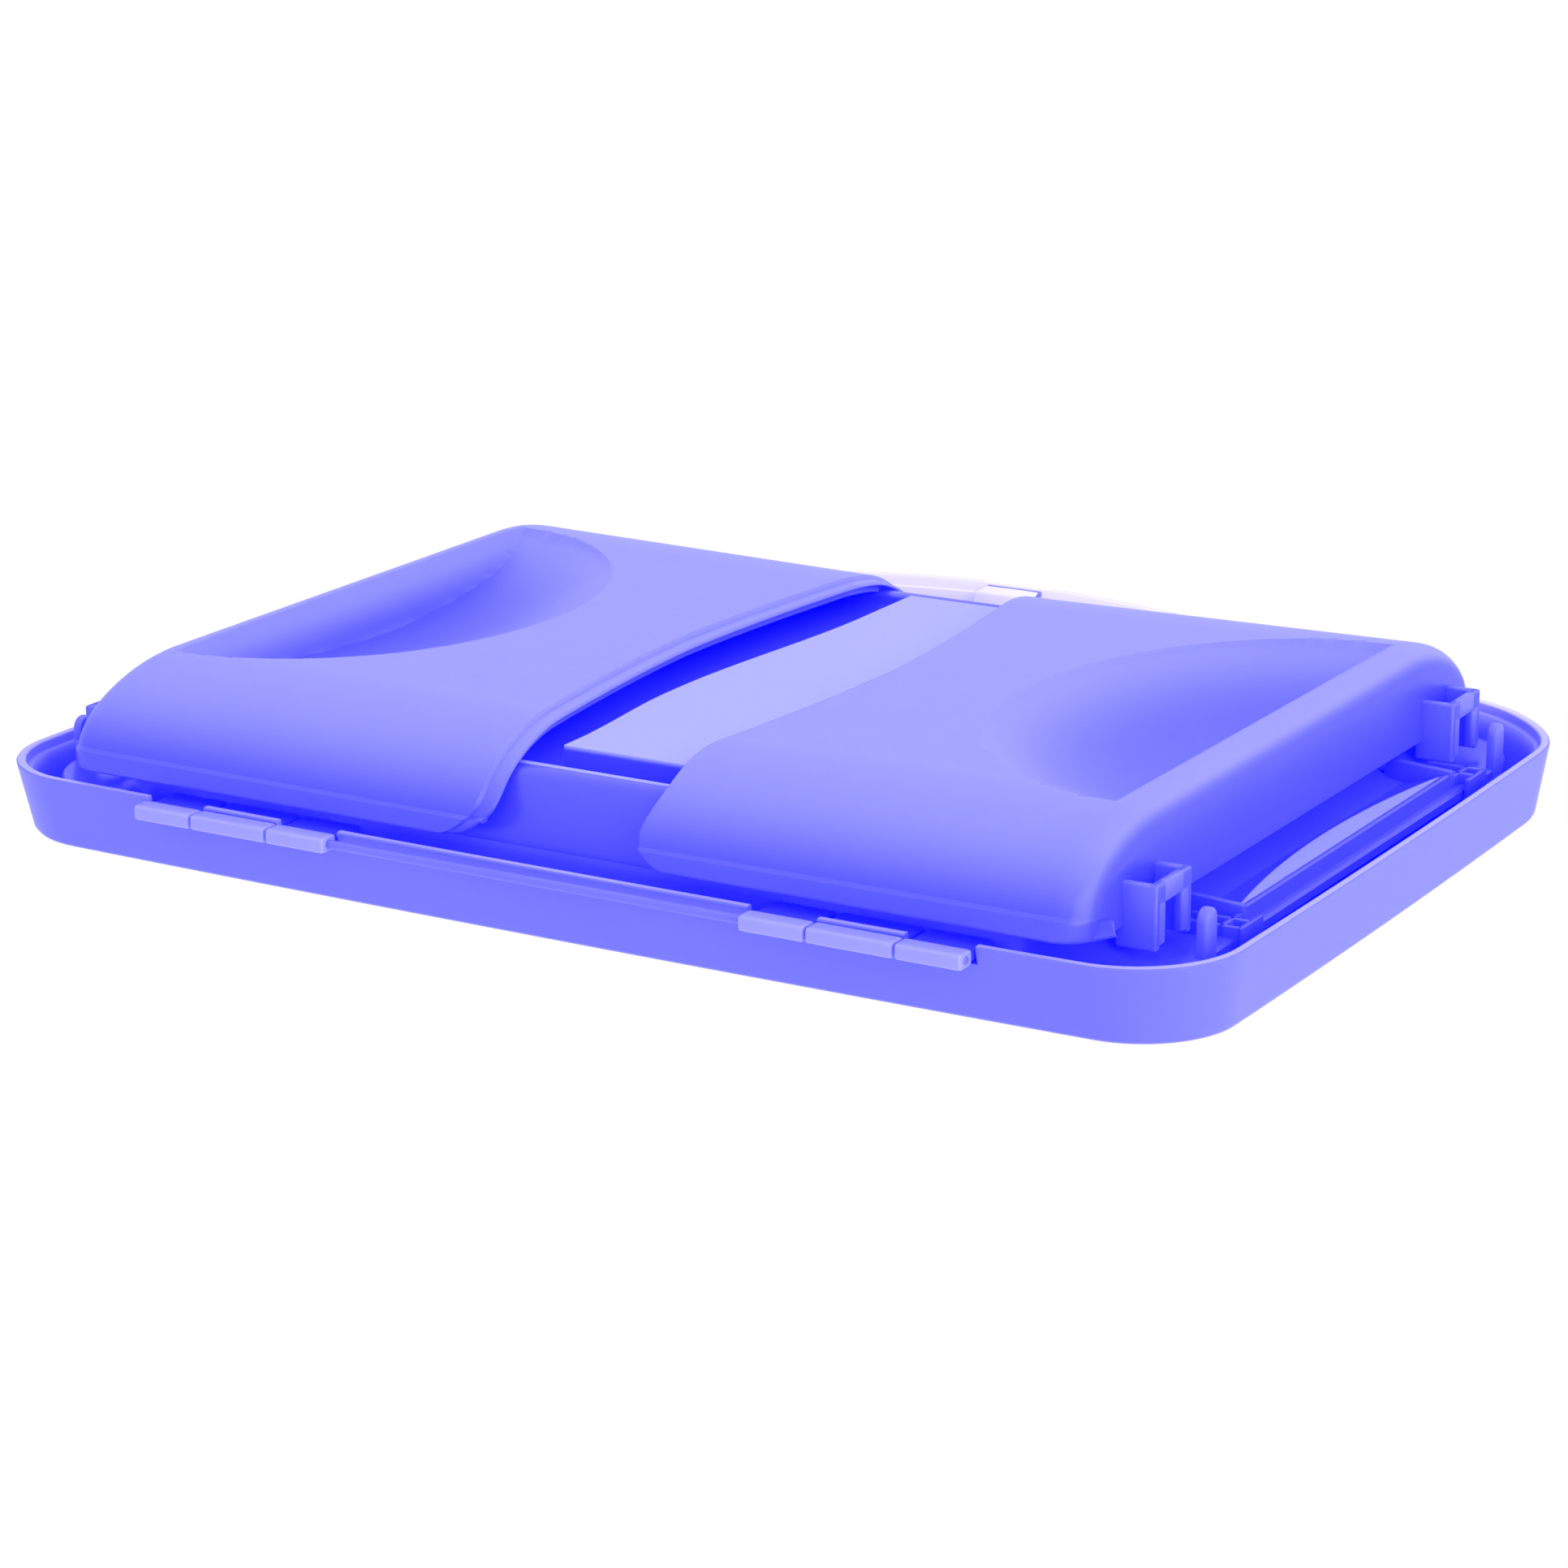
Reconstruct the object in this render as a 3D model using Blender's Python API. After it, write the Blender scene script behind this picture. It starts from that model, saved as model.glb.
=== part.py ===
"""Pocket pill splitter: hinged lid with a blade, base with a deck, and two sprung finger grips.

The unit stands on the faces of its two grips. X runs along the length, -Y is the latch side,
+Y is the hinge side and +Z is up. Every number below is in millimetres until MM turns it to metres.
"""

import math

import bpy
import numpy as np
from mathutils import Matrix

MM = 0.001
CENTRE_Y = 0.713

# Lid
TOP_Z = 14.7
LID_DEPTH = 6.3
LID_HALF_X = 55.0
LID_HALF_Y = 37.6
FLARE_X = 0.8
FLARE_Y = 1.7
RIM_RADIUS = 8.5
PANEL_RADIUS = 7.5
WALL = 1.1
PANEL = 1.4
FRONT_BOW = 4.0
REAR_BOW = 0.6
SIDE_BOW = 0.4
LIP_DROP = 4.7
LENS_HALF_X = 33.5
LENS_TOP_DROP = 1.2
LENS_DEPTH = 1.7
CRESCENT_HALF_X = 41.0
CRESCENT_WIDE = 5.8
CRESCENT_DEEP = 0.9

# Hinge
HINGE_Y = 38.9
HINGE_Z = 9.2
KNUCKLE_RADIUS = 1.25
BORE_RADIUS = 0.95
ROD_RADIUS = 0.7
KNUCKLE_ENDS = (18.7, 24.4, 31.8, 37.4)
HINGE_SHIFT = 0.7

# Grips
GRIP_END_X = 46.1
GRIP_HALF_Y = 36.9
GRIP_EDGE_Z = 7.6
GRIP_WALL = 1.3
FACE_EDGE_Z = 0.6
END_ROUND = 2.0
SIDE_ROUND = 6.0
PLAN_CORNER = 5.5
EDGE_MID = 10.0
EDGE_DROP = 3.84
EDGE_SKEW = 0.66
SCOOP_X = 43.2
SCOOP_LONG = 20.8
SCOOP_HALF_Y = 25.5
SCOOP_DEEP = 3.0
SCOOP_WALL_SLOPE = 1.0
ROW_CROWDING = 1.3
TRAVEL = 3.8
POST_Y = 27.6
POST_TOP_Z = 4.3

# Base
BAND_Z = 2.05
BAND_HALF_Y = 27.3
KEEL_HALF_X = 15.4
FLOOR_Z = 4.6
DECK_Z = 7.4
DECK_TOP = 8.4

# Works
CARRIER_Z = 5.85
CARRIER_TOP = 7.15
PINION_PITCH = 2.6
PINION_TEETH = 10
SPRING_Z = 10.2
SPRING_IN_X = 33.1
SPRING_OUT_X = 43.2
SPRING_RADIUS = 1.35
WIRE_RADIUS = 0.22
BLADE_EDGE_Z = 8.75
BLADE_TOP_Z = 12.9
SCREW_Y = 10.0


def clear_scene():
    for thing in list(bpy.data.objects):
        bpy.data.objects.remove(thing, do_unlink=True)


def material(name, colour, rough, metal=0.0, through=0.0):
    made = bpy.data.materials.new(name)
    made.use_nodes = True
    shader = made.node_tree.nodes["Principled BSDF"]
    shader.inputs["Base Color"].default_value = (*colour, 1.0)
    shader.inputs["Roughness"].default_value = rough
    shader.inputs["Metallic"].default_value = metal
    shader.inputs["Transmission Weight"].default_value = through
    return made


def solid(name, points, faces, paint):
    """Makes an object of a closed mesh, turning its faces outwards."""
    mesh = bpy.data.meshes.new(name)
    points = np.asarray(points, float)
    faces = [list(map(int, face)) for face in faces]
    volume = 0.0
    for face in faces:
        for second, third in zip(face[1:], face[2:]):
            volume += np.linalg.det(points[[face[0], second, third]])
    if volume < 0.0:
        faces = [face[::-1] for face in faces]
    shifted = points + (0.0, CENTRE_Y, 0.0)
    mesh.from_pydata((shifted * MM).tolist(), [], faces)
    mesh.materials.append(paint)
    made = bpy.data.objects.new(name, mesh)
    bpy.context.scene.collection.objects.link(made)
    return made


def combine(target, tool, operation):
    change = target.modifiers.new("combine", "BOOLEAN")
    change.operation = operation
    change.solver = "EXACT"
    change.object = tool
    graph = bpy.context.evaluated_depsgraph_get()
    done = bpy.data.meshes.new_from_object(target.evaluated_get(graph))
    target.modifiers.clear()
    target.data = done
    bpy.data.objects.remove(tool, do_unlink=True)


def add(target, *tools):
    for tool in tools:
        combine(target, tool, "UNION")


def cut(target, *tools):
    for tool in tools:
        combine(target, tool, "DIFFERENCE")


def prism(name, outline, low, high, axis, paint):
    """Extrudes an outline, given anticlockwise in the two axes that follow the given axis."""
    flat = np.asarray(outline, float)
    count = len(flat)
    points = np.zeros((2 * count, 3))
    first, second = (axis + 1) % 3, (axis + 2) % 3
    for half, level in enumerate((low, high)):
        rows = slice(half * count, (half + 1) * count)
        points[rows, first] = flat[:, 0]
        points[rows, second] = flat[:, 1]
        points[rows, axis] = level
    faces = [list(range(count))[::-1], list(range(count, 2 * count))]
    for index in range(count):
        after = (index + 1) % count
        faces.append([index, after, after + count, index + count])
    return solid(name, points, faces, paint)


def box(name, x, y, z, paint):
    corners = [(x[0], y[0]), (x[1], y[0]), (x[1], y[1]), (x[0], y[1])]
    return prism(name, corners, z[0], z[1], 2, paint)


def disc(radius, centre=(0.0, 0.0), sides=24):
    turn = np.linspace(0.0, 2.0 * math.pi, sides, endpoint=False)
    return np.c_[centre[0] + radius * np.cos(turn), centre[1] + radius * np.sin(turn)]


def rod(name, radius, low, high, axis, centre, paint, sides=24):
    return prism(name, disc(radius, centre, sides), low, high, axis, paint)


def ring_loft(name, rings, paint):
    """Closes a stack of rings, all with the same number of points, with a fan at both ends."""
    count = len(rings[0])
    points = np.vstack([*rings, rings[0].mean(0), rings[-1].mean(0)])
    faces = []
    for level in range(len(rings) - 1):
        start = level * count
        for index in range(count):
            after = (index + 1) % count
            faces.append([start + index, start + count + index, start + count + after, start + after])
    last = (len(rings) - 1) * count
    for index in range(count):
        after = (index + 1) % count
        faces.append([len(rings) * count, index, after])
        faces.append([len(rings) * count + 1, last + after, last + index])
    return solid(name, points, faces, paint)


def outline(half_x, half_y, radius, front=0.0, rear=0.0, side=0.0, steps=(18, 8, 5)):
    """Rounded rectangle with bowed sides, anticlockwise from the front right corner."""
    along, across, bend = steps
    middle = ((1, -1, -90), (1, 1, 0), (-1, 1, 90), (-1, -1, 180))
    points = []
    for index, (sx, sy, angle) in enumerate(middle):
        centre = np.array([sx * (half_x - radius), sy * (half_y - radius)])
        for step in range(bend + 1):
            turn = math.radians(angle + 90.0 * step / bend)
            points.append(centre + radius * np.array([math.cos(turn), math.sin(turn)]))
        after = middle[(index + 1) % 4]
        other = np.array([after[0] * (half_x - radius), after[1] * (half_y - radius)])
        turn = math.radians(angle + 90.0)
        reach = radius * np.array([math.cos(turn), math.sin(turn)])
        count = across if index % 2 == 0 else along
        for step in range(1, count):
            points.append(centre + reach + (other - centre) * step / count)
    flat = np.array(points)
    x, y = flat[:, 0].copy(), flat[:, 1].copy()
    middle_x = np.clip(1.0 - (x / half_x) ** 2, 0.0, 1.0)
    middle_y = np.clip(1.0 - (y / half_y) ** 2, 0.0, 1.0)
    flat[:, 1] -= front * middle_x * np.clip(-y / half_y, 0.0, 1.0)
    flat[:, 1] += rear * middle_x * np.clip(y / half_y, 0.0, 1.0)
    flat[:, 0] += np.sign(x) * side * middle_y * (np.abs(x) / half_x) ** 4
    return flat


def lip_drop(x, y):
    """How far the rim hangs below its level line: deepest at the middle of the front."""
    front = np.clip(-y / LID_HALF_Y, 0.0, 1.0) ** 6
    return LIP_DROP * front * np.clip(1.0 - (x / (1.13 * LID_HALF_X)) ** 2, 0.0, 1.0) ** 2.3


def crescent(x, y, edge_y):
    """Depth of the shallow scoop along the hinge edge of the panel."""
    across = np.clip(1.0 - (x / CRESCENT_HALF_X) ** 2, 0.0, 1.0)
    reach = CRESCENT_WIDE * across
    inset = edge_y - 0.9 - y
    share = np.clip(1.0 - inset / np.maximum(reach, 0.01), 0.0, 1.0)
    inside = (inset > -0.05) & (reach > 0.05)
    return np.where(inside, CRESCENT_DEEP * np.sqrt(share) * across ** 0.35, 0.0)


def lid_ring(fraction, inset, step=0.0):
    """Ring on the lid wall: fraction 0 is the panel edge and 1 is the rim."""
    bow = FRONT_BOW * (0.88 + 0.12 * fraction)
    half_x = LID_HALF_X - FLARE_X * (1.0 - fraction) - inset
    half_y = LID_HALF_Y - FLARE_Y * (1.0 - fraction) - inset
    radius = PANEL_RADIUS + (RIM_RADIUS - PANEL_RADIUS) * fraction - 0.6 * inset
    flat = outline(half_x, half_y, radius, bow, REAR_BOW, SIDE_BOW)
    x, y = flat[:, 0], flat[:, 1]
    fall = LID_DEPTH + lip_drop(x, y)
    z = TOP_Z - fraction * fall + step
    on_front = np.clip(-y / half_y, 0.0, 1.0) ** 6
    arch = np.clip(1.0 - (x / LENS_HALF_X) ** 2, 0.0, 1.0)
    lens_top = TOP_Z - LENS_TOP_DROP - 7.2 * (1.0 - arch ** 0.75)
    rim_z = TOP_Z - fall
    share = np.clip((lens_top - z) / np.maximum(lens_top - rim_z, 0.5), 0.0, 1.0)
    flat[:, 1] += LENS_DEPTH * on_front * arch ** 0.6 * 4.0 * share * (1.0 - share)
    return np.c_[flat, z]


def panel_ring(scale, level, inset):
    """Ring on the flat panel, given as a share of the panel outline."""
    flat = outline(
        LID_HALF_X - FLARE_X - inset,
        LID_HALF_Y - FLARE_Y - inset,
        PANEL_RADIUS - 0.6 * inset,
        FRONT_BOW * 0.88,
        REAR_BOW,
        SIDE_BOW,
    )
    flat = flat * scale
    edge = LID_HALF_Y - FLARE_Y + REAR_BOW
    z = level - crescent(flat[:, 0], flat[:, 1], edge)
    return np.c_[flat, z]


def hinge_span(side, first, second):
    """Ends along X of a stretch of one hinge group, given as distances from the middle of the hinge."""
    return sorted((side * first + HINGE_SHIFT, side * second + HINGE_SHIFT))


def make_lid(paint):
    rings = [panel_ring(scale, TOP_Z, 0.5) for scale in (0.45, 0.78, 0.84, 0.89, 0.94, 0.972, 1.0)]
    edge = lid_ring(0.0, 0.12)
    edge[:, 2] = TOP_Z - 0.18
    rings.append(edge)
    rings += [lid_ring(fraction, 0.0) for fraction in (0.1, 0.3, 0.5, 0.7, 0.85, 1.0)]
    rings.append(lid_ring(1.0, 0.6))
    rings.append(lid_ring(1.0, 0.6, 0.8))
    rings.append(lid_ring(1.0, WALL, 0.8))
    rings += [lid_ring(fraction, WALL) for fraction in (0.7, 0.45)]
    inner = lid_ring(0.28, WALL + 0.1)
    rings.append(inner)
    rings += [panel_ring(scale, TOP_Z - PANEL, 1.6) for scale in (1.0, 0.93, 0.86, 0.78)]
    lid = ring_loft("lid_shell", rings[::-1], paint)
    for side in (-1, 1):
        low, high = hinge_span(side, KNUCKLE_ENDS[1] + 0.3, KNUCKLE_ENDS[2] - 0.3)
        arm = box("arm", (low, high), (36.6, HINGE_Y), (HINGE_Z - 0.5, HINGE_Z + 0.6), paint)
        eye = rod("eye", KNUCKLE_RADIUS, low, high, 0, (HINGE_Y, HINGE_Z), paint)
        add(lid, arm, eye)
        for first, second in (KNUCKLE_ENDS[:2], KNUCKLE_ENDS[2:]):
            ends = hinge_span(side, first - 0.35, second + 0.35)
            cut(lid, box("notch", ends, (34.0, 41.0), (7.0, HINGE_Z + 1.75), paint))
    cut(lid, rod("bore", BORE_RADIUS, -60.0, 60.0, 0, (HINGE_Y, HINGE_Z), paint))
    cut(lid, box("slot", (-3.4, 3.4), (-45.0, -38.0), (3.0, TOP_Z - LID_DEPTH - LIP_DROP + 1.1), paint))
    return lid


def facing_edge(y):
    """Plan line of the edge of the right grip that faces the other grip."""
    share = y / 36.0
    return EDGE_MID - EDGE_DROP * np.abs(share) ** 1.6 + EDGE_SKEW * share


def scoop(x, y):
    """Depth of the finger scoop in a grip face."""
    away = SCOOP_X - x
    rho = (away / SCOOP_LONG) ** 2 + (y / SCOOP_HALF_Y) ** 2
    bowl = SCOOP_DEEP * np.clip(1.0 - rho, 0.0, 1.0) ** 0.8
    wall = np.clip(away, 0.0, None) * SCOOP_WALL_SLOPE
    return np.minimum(bowl, wall)


def grip_sheet(end_x, half_y, end_round, side_round, lift, columns, rows):
    """One side of a grip shell: a face grid, then a strip round three sides down to the edge."""
    across = np.linspace(-1.0, 1.0, columns + 1)
    shares = 1.0 - (1.0 - np.linspace(0.0, 1.0, rows)) ** ROW_CROWDING
    shares = np.append(shares, 2.0)
    grid = np.zeros((rows + 1, columns + 1, 3))
    limit_x = end_x - end_round
    limit_y = half_y - side_round
    for i, share in enumerate(shares):
        for j, side in enumerate(across):
            y = side * limit_y
            near = facing_edge(y)
            x = limit_x if share > 1.0 else near + share * (SCOOP_X - near)
            over_x = np.clip((x - (limit_x - PLAN_CORNER)) / PLAN_CORNER, 0.0, 1.0)
            over_y = np.clip((abs(y) - (limit_y - PLAN_CORNER)) / PLAN_CORNER, 0.0, 1.0)
            x -= PLAN_CORNER * over_x * (1.0 - math.sqrt(1.0 - over_y ** 2 / 2.0))
            y -= math.copysign(PLAN_CORNER * over_y * (1.0 - math.sqrt(1.0 - over_x ** 2 / 2.0)), y)
            slope = FACE_EDGE_Z * np.clip((SCOOP_X - x) / 34.0, 0.0, 1.0)
            grid[i, j] = (x, y, slope + scoop(x, y) + lift)
    index = np.arange(grid[..., 0].size).reshape(rows + 1, columns + 1)
    faces = []
    for i in range(rows):
        for j in range(columns):
            faces.append([index[i, j], index[i, j + 1], index[i + 1, j + 1], index[i + 1, j]])
    path = [index[i, 0] for i in range(rows + 1)]
    path += [index[rows, j] for j in range(1, columns + 1)]
    path += [index[i, columns] for i in range(rows - 1, -1, -1)]
    points = list(grid.reshape(-1, 3))
    line = np.array([points[k] for k in path])
    ahead = np.vstack([line[1:], line[-1:]])
    behind = np.vstack([line[:1], line[:-1]])
    along = ahead - behind
    normal = np.c_[along[:, 1], -along[:, 0]]
    normal /= np.linalg.norm(normal, axis=1)[:, None]
    normal[0] = (0.0, -1.0)
    normal[-1] = (0.0, 1.0)
    sideways = np.abs(normal[:, 1]) ** 2
    radius = end_round + (side_round - end_round) * sideways
    previous = path
    levels = [("turn", 30.0), ("turn", 60.0), ("turn", 90.0), ("drop", 0.5), ("drop", 1.0)]
    for kind, amount in levels:
        turn = math.radians(amount) if kind == "turn" else math.pi / 2.0
        level = line[:, 2] + radius * (1.0 - math.cos(turn))
        if kind == "drop":
            level = level + (GRIP_EDGE_Z - level) * amount
        row = []
        for k in range(len(path)):
            x = line[k, 0] + radius[k] * math.sin(turn) * normal[k, 0]
            y = line[k, 1] + radius[k] * math.sin(turn) * normal[k, 1]
            free = np.clip(1.0 - (line[k, 0] - facing_edge(line[k, 1])) / 12.0, 0.0, 1.0)
            x += 3.0 * free * (np.clip(level[k], 0.0, GRIP_EDGE_Z) / GRIP_EDGE_Z) ** 2
            row.append(len(points))
            points.append(np.array([x, y, level[k]]))
        for k in range(len(path) - 1):
            faces.append([previous[k], previous[k + 1], row[k + 1], row[k]])
        previous = row
    return np.array(points), faces


def make_grip(name, turned, paint, columns=20, rows=13):
    outer, faces = grip_sheet(GRIP_END_X, GRIP_HALF_Y, END_ROUND, SIDE_ROUND, 0.0, columns, rows)
    inner, _ = grip_sheet(
        GRIP_END_X - GRIP_WALL,
        GRIP_HALF_Y - GRIP_WALL,
        0.3,
        SIDE_ROUND - GRIP_WALL,
        GRIP_WALL - 0.1,
        columns,
        rows,
    )
    count = len(outer)
    edges = {}
    for face in faces:
        for a, b in zip(face, face[1:] + face[:1]):
            edges[(a, b)] = edges.get((a, b), 0) + 1
    points = np.vstack([outer, inner])
    closed = [list(face) for face in faces]
    closed += [[k + count for k in face[::-1]] for face in faces]
    for a, b in edges:
        if (b, a) not in edges:
            closed.append([b, a, a + count, b + count])
    points = points * ((-1.0, -1.0, 1.0) if turned else (1.0, 1.0, 1.0))
    grip = solid(name, points, [face[::-1] for face in closed], paint)
    side = -1.0 if turned else 1.0
    for y in (-POST_Y, POST_Y):
        back = sorted((side * (GRIP_END_X - 0.9), side * (GRIP_END_X + 0.9)))
        add(grip, box("back", back, (y - 2.6, y + 2.6), (POST_TOP_Z, GRIP_EDGE_Z - 0.1), paint))
        for cheek in (-1.0, 1.0):
            wide = sorted((y + cheek * 1.6, y + cheek * 2.6))
            deep = sorted((side * (GRIP_END_X - 0.5), side * (GRIP_END_X + 2.8)))
            add(grip, box("cheek", deep, wide, (POST_TOP_Z, GRIP_EDGE_Z - 0.1), paint))
    return grip


def make_base(paint):
    levels = (
        (42.4, 32.6, 4.5, FLOOR_Z),
        (43.4, 33.6, 5.2, 5.4),
        (43.9, 34.5, 6.0, 7.9),
        (45.4, 34.8, 6.5, 9.3),
        (47.6, 34.9, 7.0, 9.9),
        (49.8, 35.0, 7.0, 9.4),
        (50.4, 35.0, 7.2, 8.9),
        (51.2, 35.1, 7.4, 8.9),
        (51.8, 35.2, 7.6, 10.6),
        (50.8, 34.3, 7.0, 10.6),
        (47.9, 33.9, 6.8, 10.8),
        (45.2, 33.7, 6.4, 10.3),
        (43.2, 33.5, 5.6, 8.6),
        (42.2, 32.4, 4.4, 5.6),
    )
    rings = []
    for half_x, half_y, radius, z in levels:
        flat = outline(half_x, half_y, radius, steps=(10, 8, 4))
        rings.append(np.c_[flat, np.full(len(flat), z)])
    base = ring_loft("base_pan", rings, paint)
    half = [
        (BAND_HALF_Y, BAND_Z),
        (BAND_HALF_Y + 0.2, 3.4),
        (BAND_HALF_Y + 1.2, 3.5),
        (BAND_HALF_Y + 1.5, 2.95),
        (31.2, 2.95),
        (32.6, 3.4),
        (33.5, 4.3),
        (34.2, 6.0),
        (34.7, 8.2),
        (33.0, 8.2),
        (31.0, 5.3),
    ]
    profile = half + [(-y, z) for y, z in half[::-1]]
    add(base, prism("keel", profile, -KEEL_HALF_X, KEEL_HALF_X, 0, paint))
    cut(base, box("well", (-14.2, 14.2), (-26.2, 26.2), (3.3, 6.5), paint))
    for side in (-1.0, 1.0):
        ends = sorted((side * 16.1, side * 25.3))
        cut(base, box("slot", ends, (-6.4, 6.4), (3.0, 6.2), paint))
        for y in (-POST_Y, POST_Y):
            deep = sorted((side * 43.25, side * 45.3))
            add(base, box("boss", deep, (y - 2.6, y + 2.6), (8.0, 11.9), paint))
            reach = sorted((side * 45.3, side * 48.4))
            cut(base, rod("seat", 2.5, *reach, 0, (y, SPRING_Z), paint, 16))
            reach = sorted((side * 42.0, side * 46.0))
            cut(base, rod("eye", 1.0, *reach, 0, (y, SPRING_Z), paint, 12))
            deep = sorted((side * 51.1, side * 51.9))
            add(base, box("tab", deep, (y - 1.1, y + 1.1), (5.2, 9.6), paint))
        for first, second in (KNUCKLE_ENDS[:2], KNUCKLE_ENDS[2:]):
            low, high = hinge_span(side, first, second)
            arm = box("arm", (low, high), (34.0, HINGE_Y), (HINGE_Z - 0.5, HINGE_Z + 0.6), paint)
            eye = rod("eye", KNUCKLE_RADIUS, low, high, 0, (HINGE_Y, HINGE_Z), paint)
            add(base, arm, eye)
    cut(base, rod("bore", BORE_RADIUS, -60.0, 60.0, 0, (HINGE_Y, HINGE_Z), paint))
    return base


def make_deck(paint):
    flat = outline(42.1, 32.2, 5.2, steps=(10, 8, 4))
    levels = (DECK_Z, DECK_TOP)
    deck = ring_loft("deck_plate", [np.c_[flat, np.full(len(flat), z)] for z in levels], paint)
    cut(deck, box("groove", (-1.3, 1.3), (-12.3, 12.3), (7.0, 9.0), paint))
    for side in (-1.0, 1.0):
        ends = sorted((side * 16.5, side * 25.0))
        cut(deck, box("slot", ends, (-3.0, 3.0), (7.0, 9.0), paint))
        for y in (-POST_Y, POST_Y):
            ends = sorted((side * 30.6, side * 38.0))
            cut(deck, box("slot", ends, (y - 1.9, y + 1.9), (7.0, 9.0), paint))
            at = (side * 38.5, math.copysign(17.0, y))
            cut(deck, rod("hole", 0.75, 7.0, 9.0, 2, at, paint, 12))
    return deck


def make_pinion(paint):
    step = 2.0 * math.pi / PINION_TEETH
    line = []
    for tooth in range(PINION_TEETH):
        centre = math.pi / 2.0 + tooth * step
        for radius, offset in ((2.15, -0.2), (2.9, -0.065), (2.9, 0.065), (2.15, 0.2)):
            line.append((radius * math.cos(centre + offset), radius * math.sin(centre + offset)))
    pinion = prism("pinion", line, CARRIER_Z, CARRIER_TOP, 2, paint)
    cut(pinion, rod("bore", 1.05, 5.0, 8.0, 2, (0.0, 0.0), paint, 20))
    return pinion


def make_carrier(name, turned, paint):
    pitch = 2.0 * math.pi * PINION_PITCH / PINION_TEETH
    teeth = [(-7.4, 5.6), (-7.4, 3.1)]
    for tooth in range(-4, 5):
        centre = (tooth + 0.5) * pitch
        if centre > 7.0:
            break
        teeth += [(centre - 0.4, 3.1), (centre - 0.17, 2.45), (centre + 0.17, 2.45), (centre + 0.4, 3.1)]
    teeth += [(17.5, 3.1), (17.5, 5.6)]
    carrier = prism(name, teeth, CARRIER_Z, CARRIER_TOP, 2, paint)
    level = (CARRIER_Z, CARRIER_TOP)
    add(carrier, box("plate", (16.6, 33.0), (-8.0, 8.0), level, paint))
    add(carrier, box("bar", (31.0, 33.0), (-29.0, 29.0), level, paint))
    add(carrier, box("foot", (16.6, 21.0), (-6.0, 6.0), (2.05, CARRIER_TOP - 0.2), paint))
    for y in (-POST_Y, POST_Y):
        add(carrier, box("finger", (31.0, 33.0), (y - 1.6, y + 1.6), (CARRIER_TOP - 0.4, 11.9), paint))
    for y in (-4.0, 4.0):
        cut(carrier, rod("hole", 0.75, 1.0, 8.0, 2, (18.8, y), paint, 12))
        cut(carrier, rod("sink", 1.15, 6.3, 8.0, 2, (18.8, y), paint, 16))
    if turned:
        carrier.data.transform(turn_about_origin())
    return carrier


def turn_about_origin():
    centre = Matrix.Translation((0.0, CENTRE_Y * MM, 0.0))
    return centre @ Matrix.Rotation(math.pi, 4, "Z") @ centre.inverted()


def make_jaw(name, turned, paint):
    line = [
        (1.3, -8.0),
        (20.6, -8.5),
        (21.4, -7.7),
        (21.4, 7.7),
        (20.6, 8.5),
        (1.3, 8.0),
        (1.3, 5.4),
        (6.6, 0.0),
        (1.3, -5.4),
    ]
    jaw = prism(name, line, DECK_TOP + 0.2, 11.0, 2, paint)
    add(jaw, box("stem", (17.0, 20.6), (-2.6, 2.6), (CARRIER_TOP + 0.1, 9.0), paint))
    if turned:
        jaw.data.transform(turn_about_origin())
    return jaw


def make_spring(name, side, y, paint, turns=6, around=9, sides=5):
    count = turns * around
    points = []
    for step in range(count + 1):
        turn = 2.0 * math.pi * step / around
        end = WIRE_RADIUS + 0.02
        span = SPRING_OUT_X - SPRING_IN_X - 2.0 * end
        x = SPRING_IN_X + end + span * step / count
        for corner in range(sides):
            angle = 2.0 * math.pi * corner / sides
            reach = SPRING_RADIUS + WIRE_RADIUS * math.cos(angle)
            points.append(
                (
                    side * (x + WIRE_RADIUS * math.sin(angle)),
                    y + reach * math.cos(turn) * side,
                    SPRING_Z + reach * math.sin(turn),
                )
            )
    faces = [list(range(sides)), list(range(count * sides, (count + 1) * sides))[::-1]]
    for step in range(count):
        for corner in range(sides):
            after = (corner + 1) % sides
            base = step * sides
            faces.append([base + after, base + corner, base + sides + corner, base + sides + after])
    return solid(name, points, [face[::-1] for face in faces], paint)


def make_guide_pin(name, side, y, paint):
    shaft = rod(name, 0.75, *sorted((side * 37.4, side * 45.9)), 0, (y, SPRING_Z), paint, 12)
    add(shaft, rod("head", 2.2, *sorted((side * 45.5, side * 46.7)), 0, (y, SPRING_Z), paint, 20))
    return shaft


def make_screw(name, at, axis, low, high, head, paint, radius=0.55, head_radius=0.95):
    """Shaft from low to high with a domed head of the given height beyond high."""
    turn = np.linspace(0.0, 2.0 * math.pi, 16, endpoint=False)
    rings = []
    for reach, level in (
        (radius, low),
        (radius, high),
        (head_radius, high),
        (head_radius, high + 0.5 * head),
        (0.6 * head_radius, high + head),
    ):
        ring = np.zeros((16, 3))
        ring[:, (axis + 1) % 3] = at[0] + reach * np.cos(turn)
        ring[:, (axis + 2) % 3] = at[1] + reach * np.sin(turn)
        ring[:, axis] = level
        rings.append(ring)
    return ring_loft(name, rings, paint)


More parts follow.
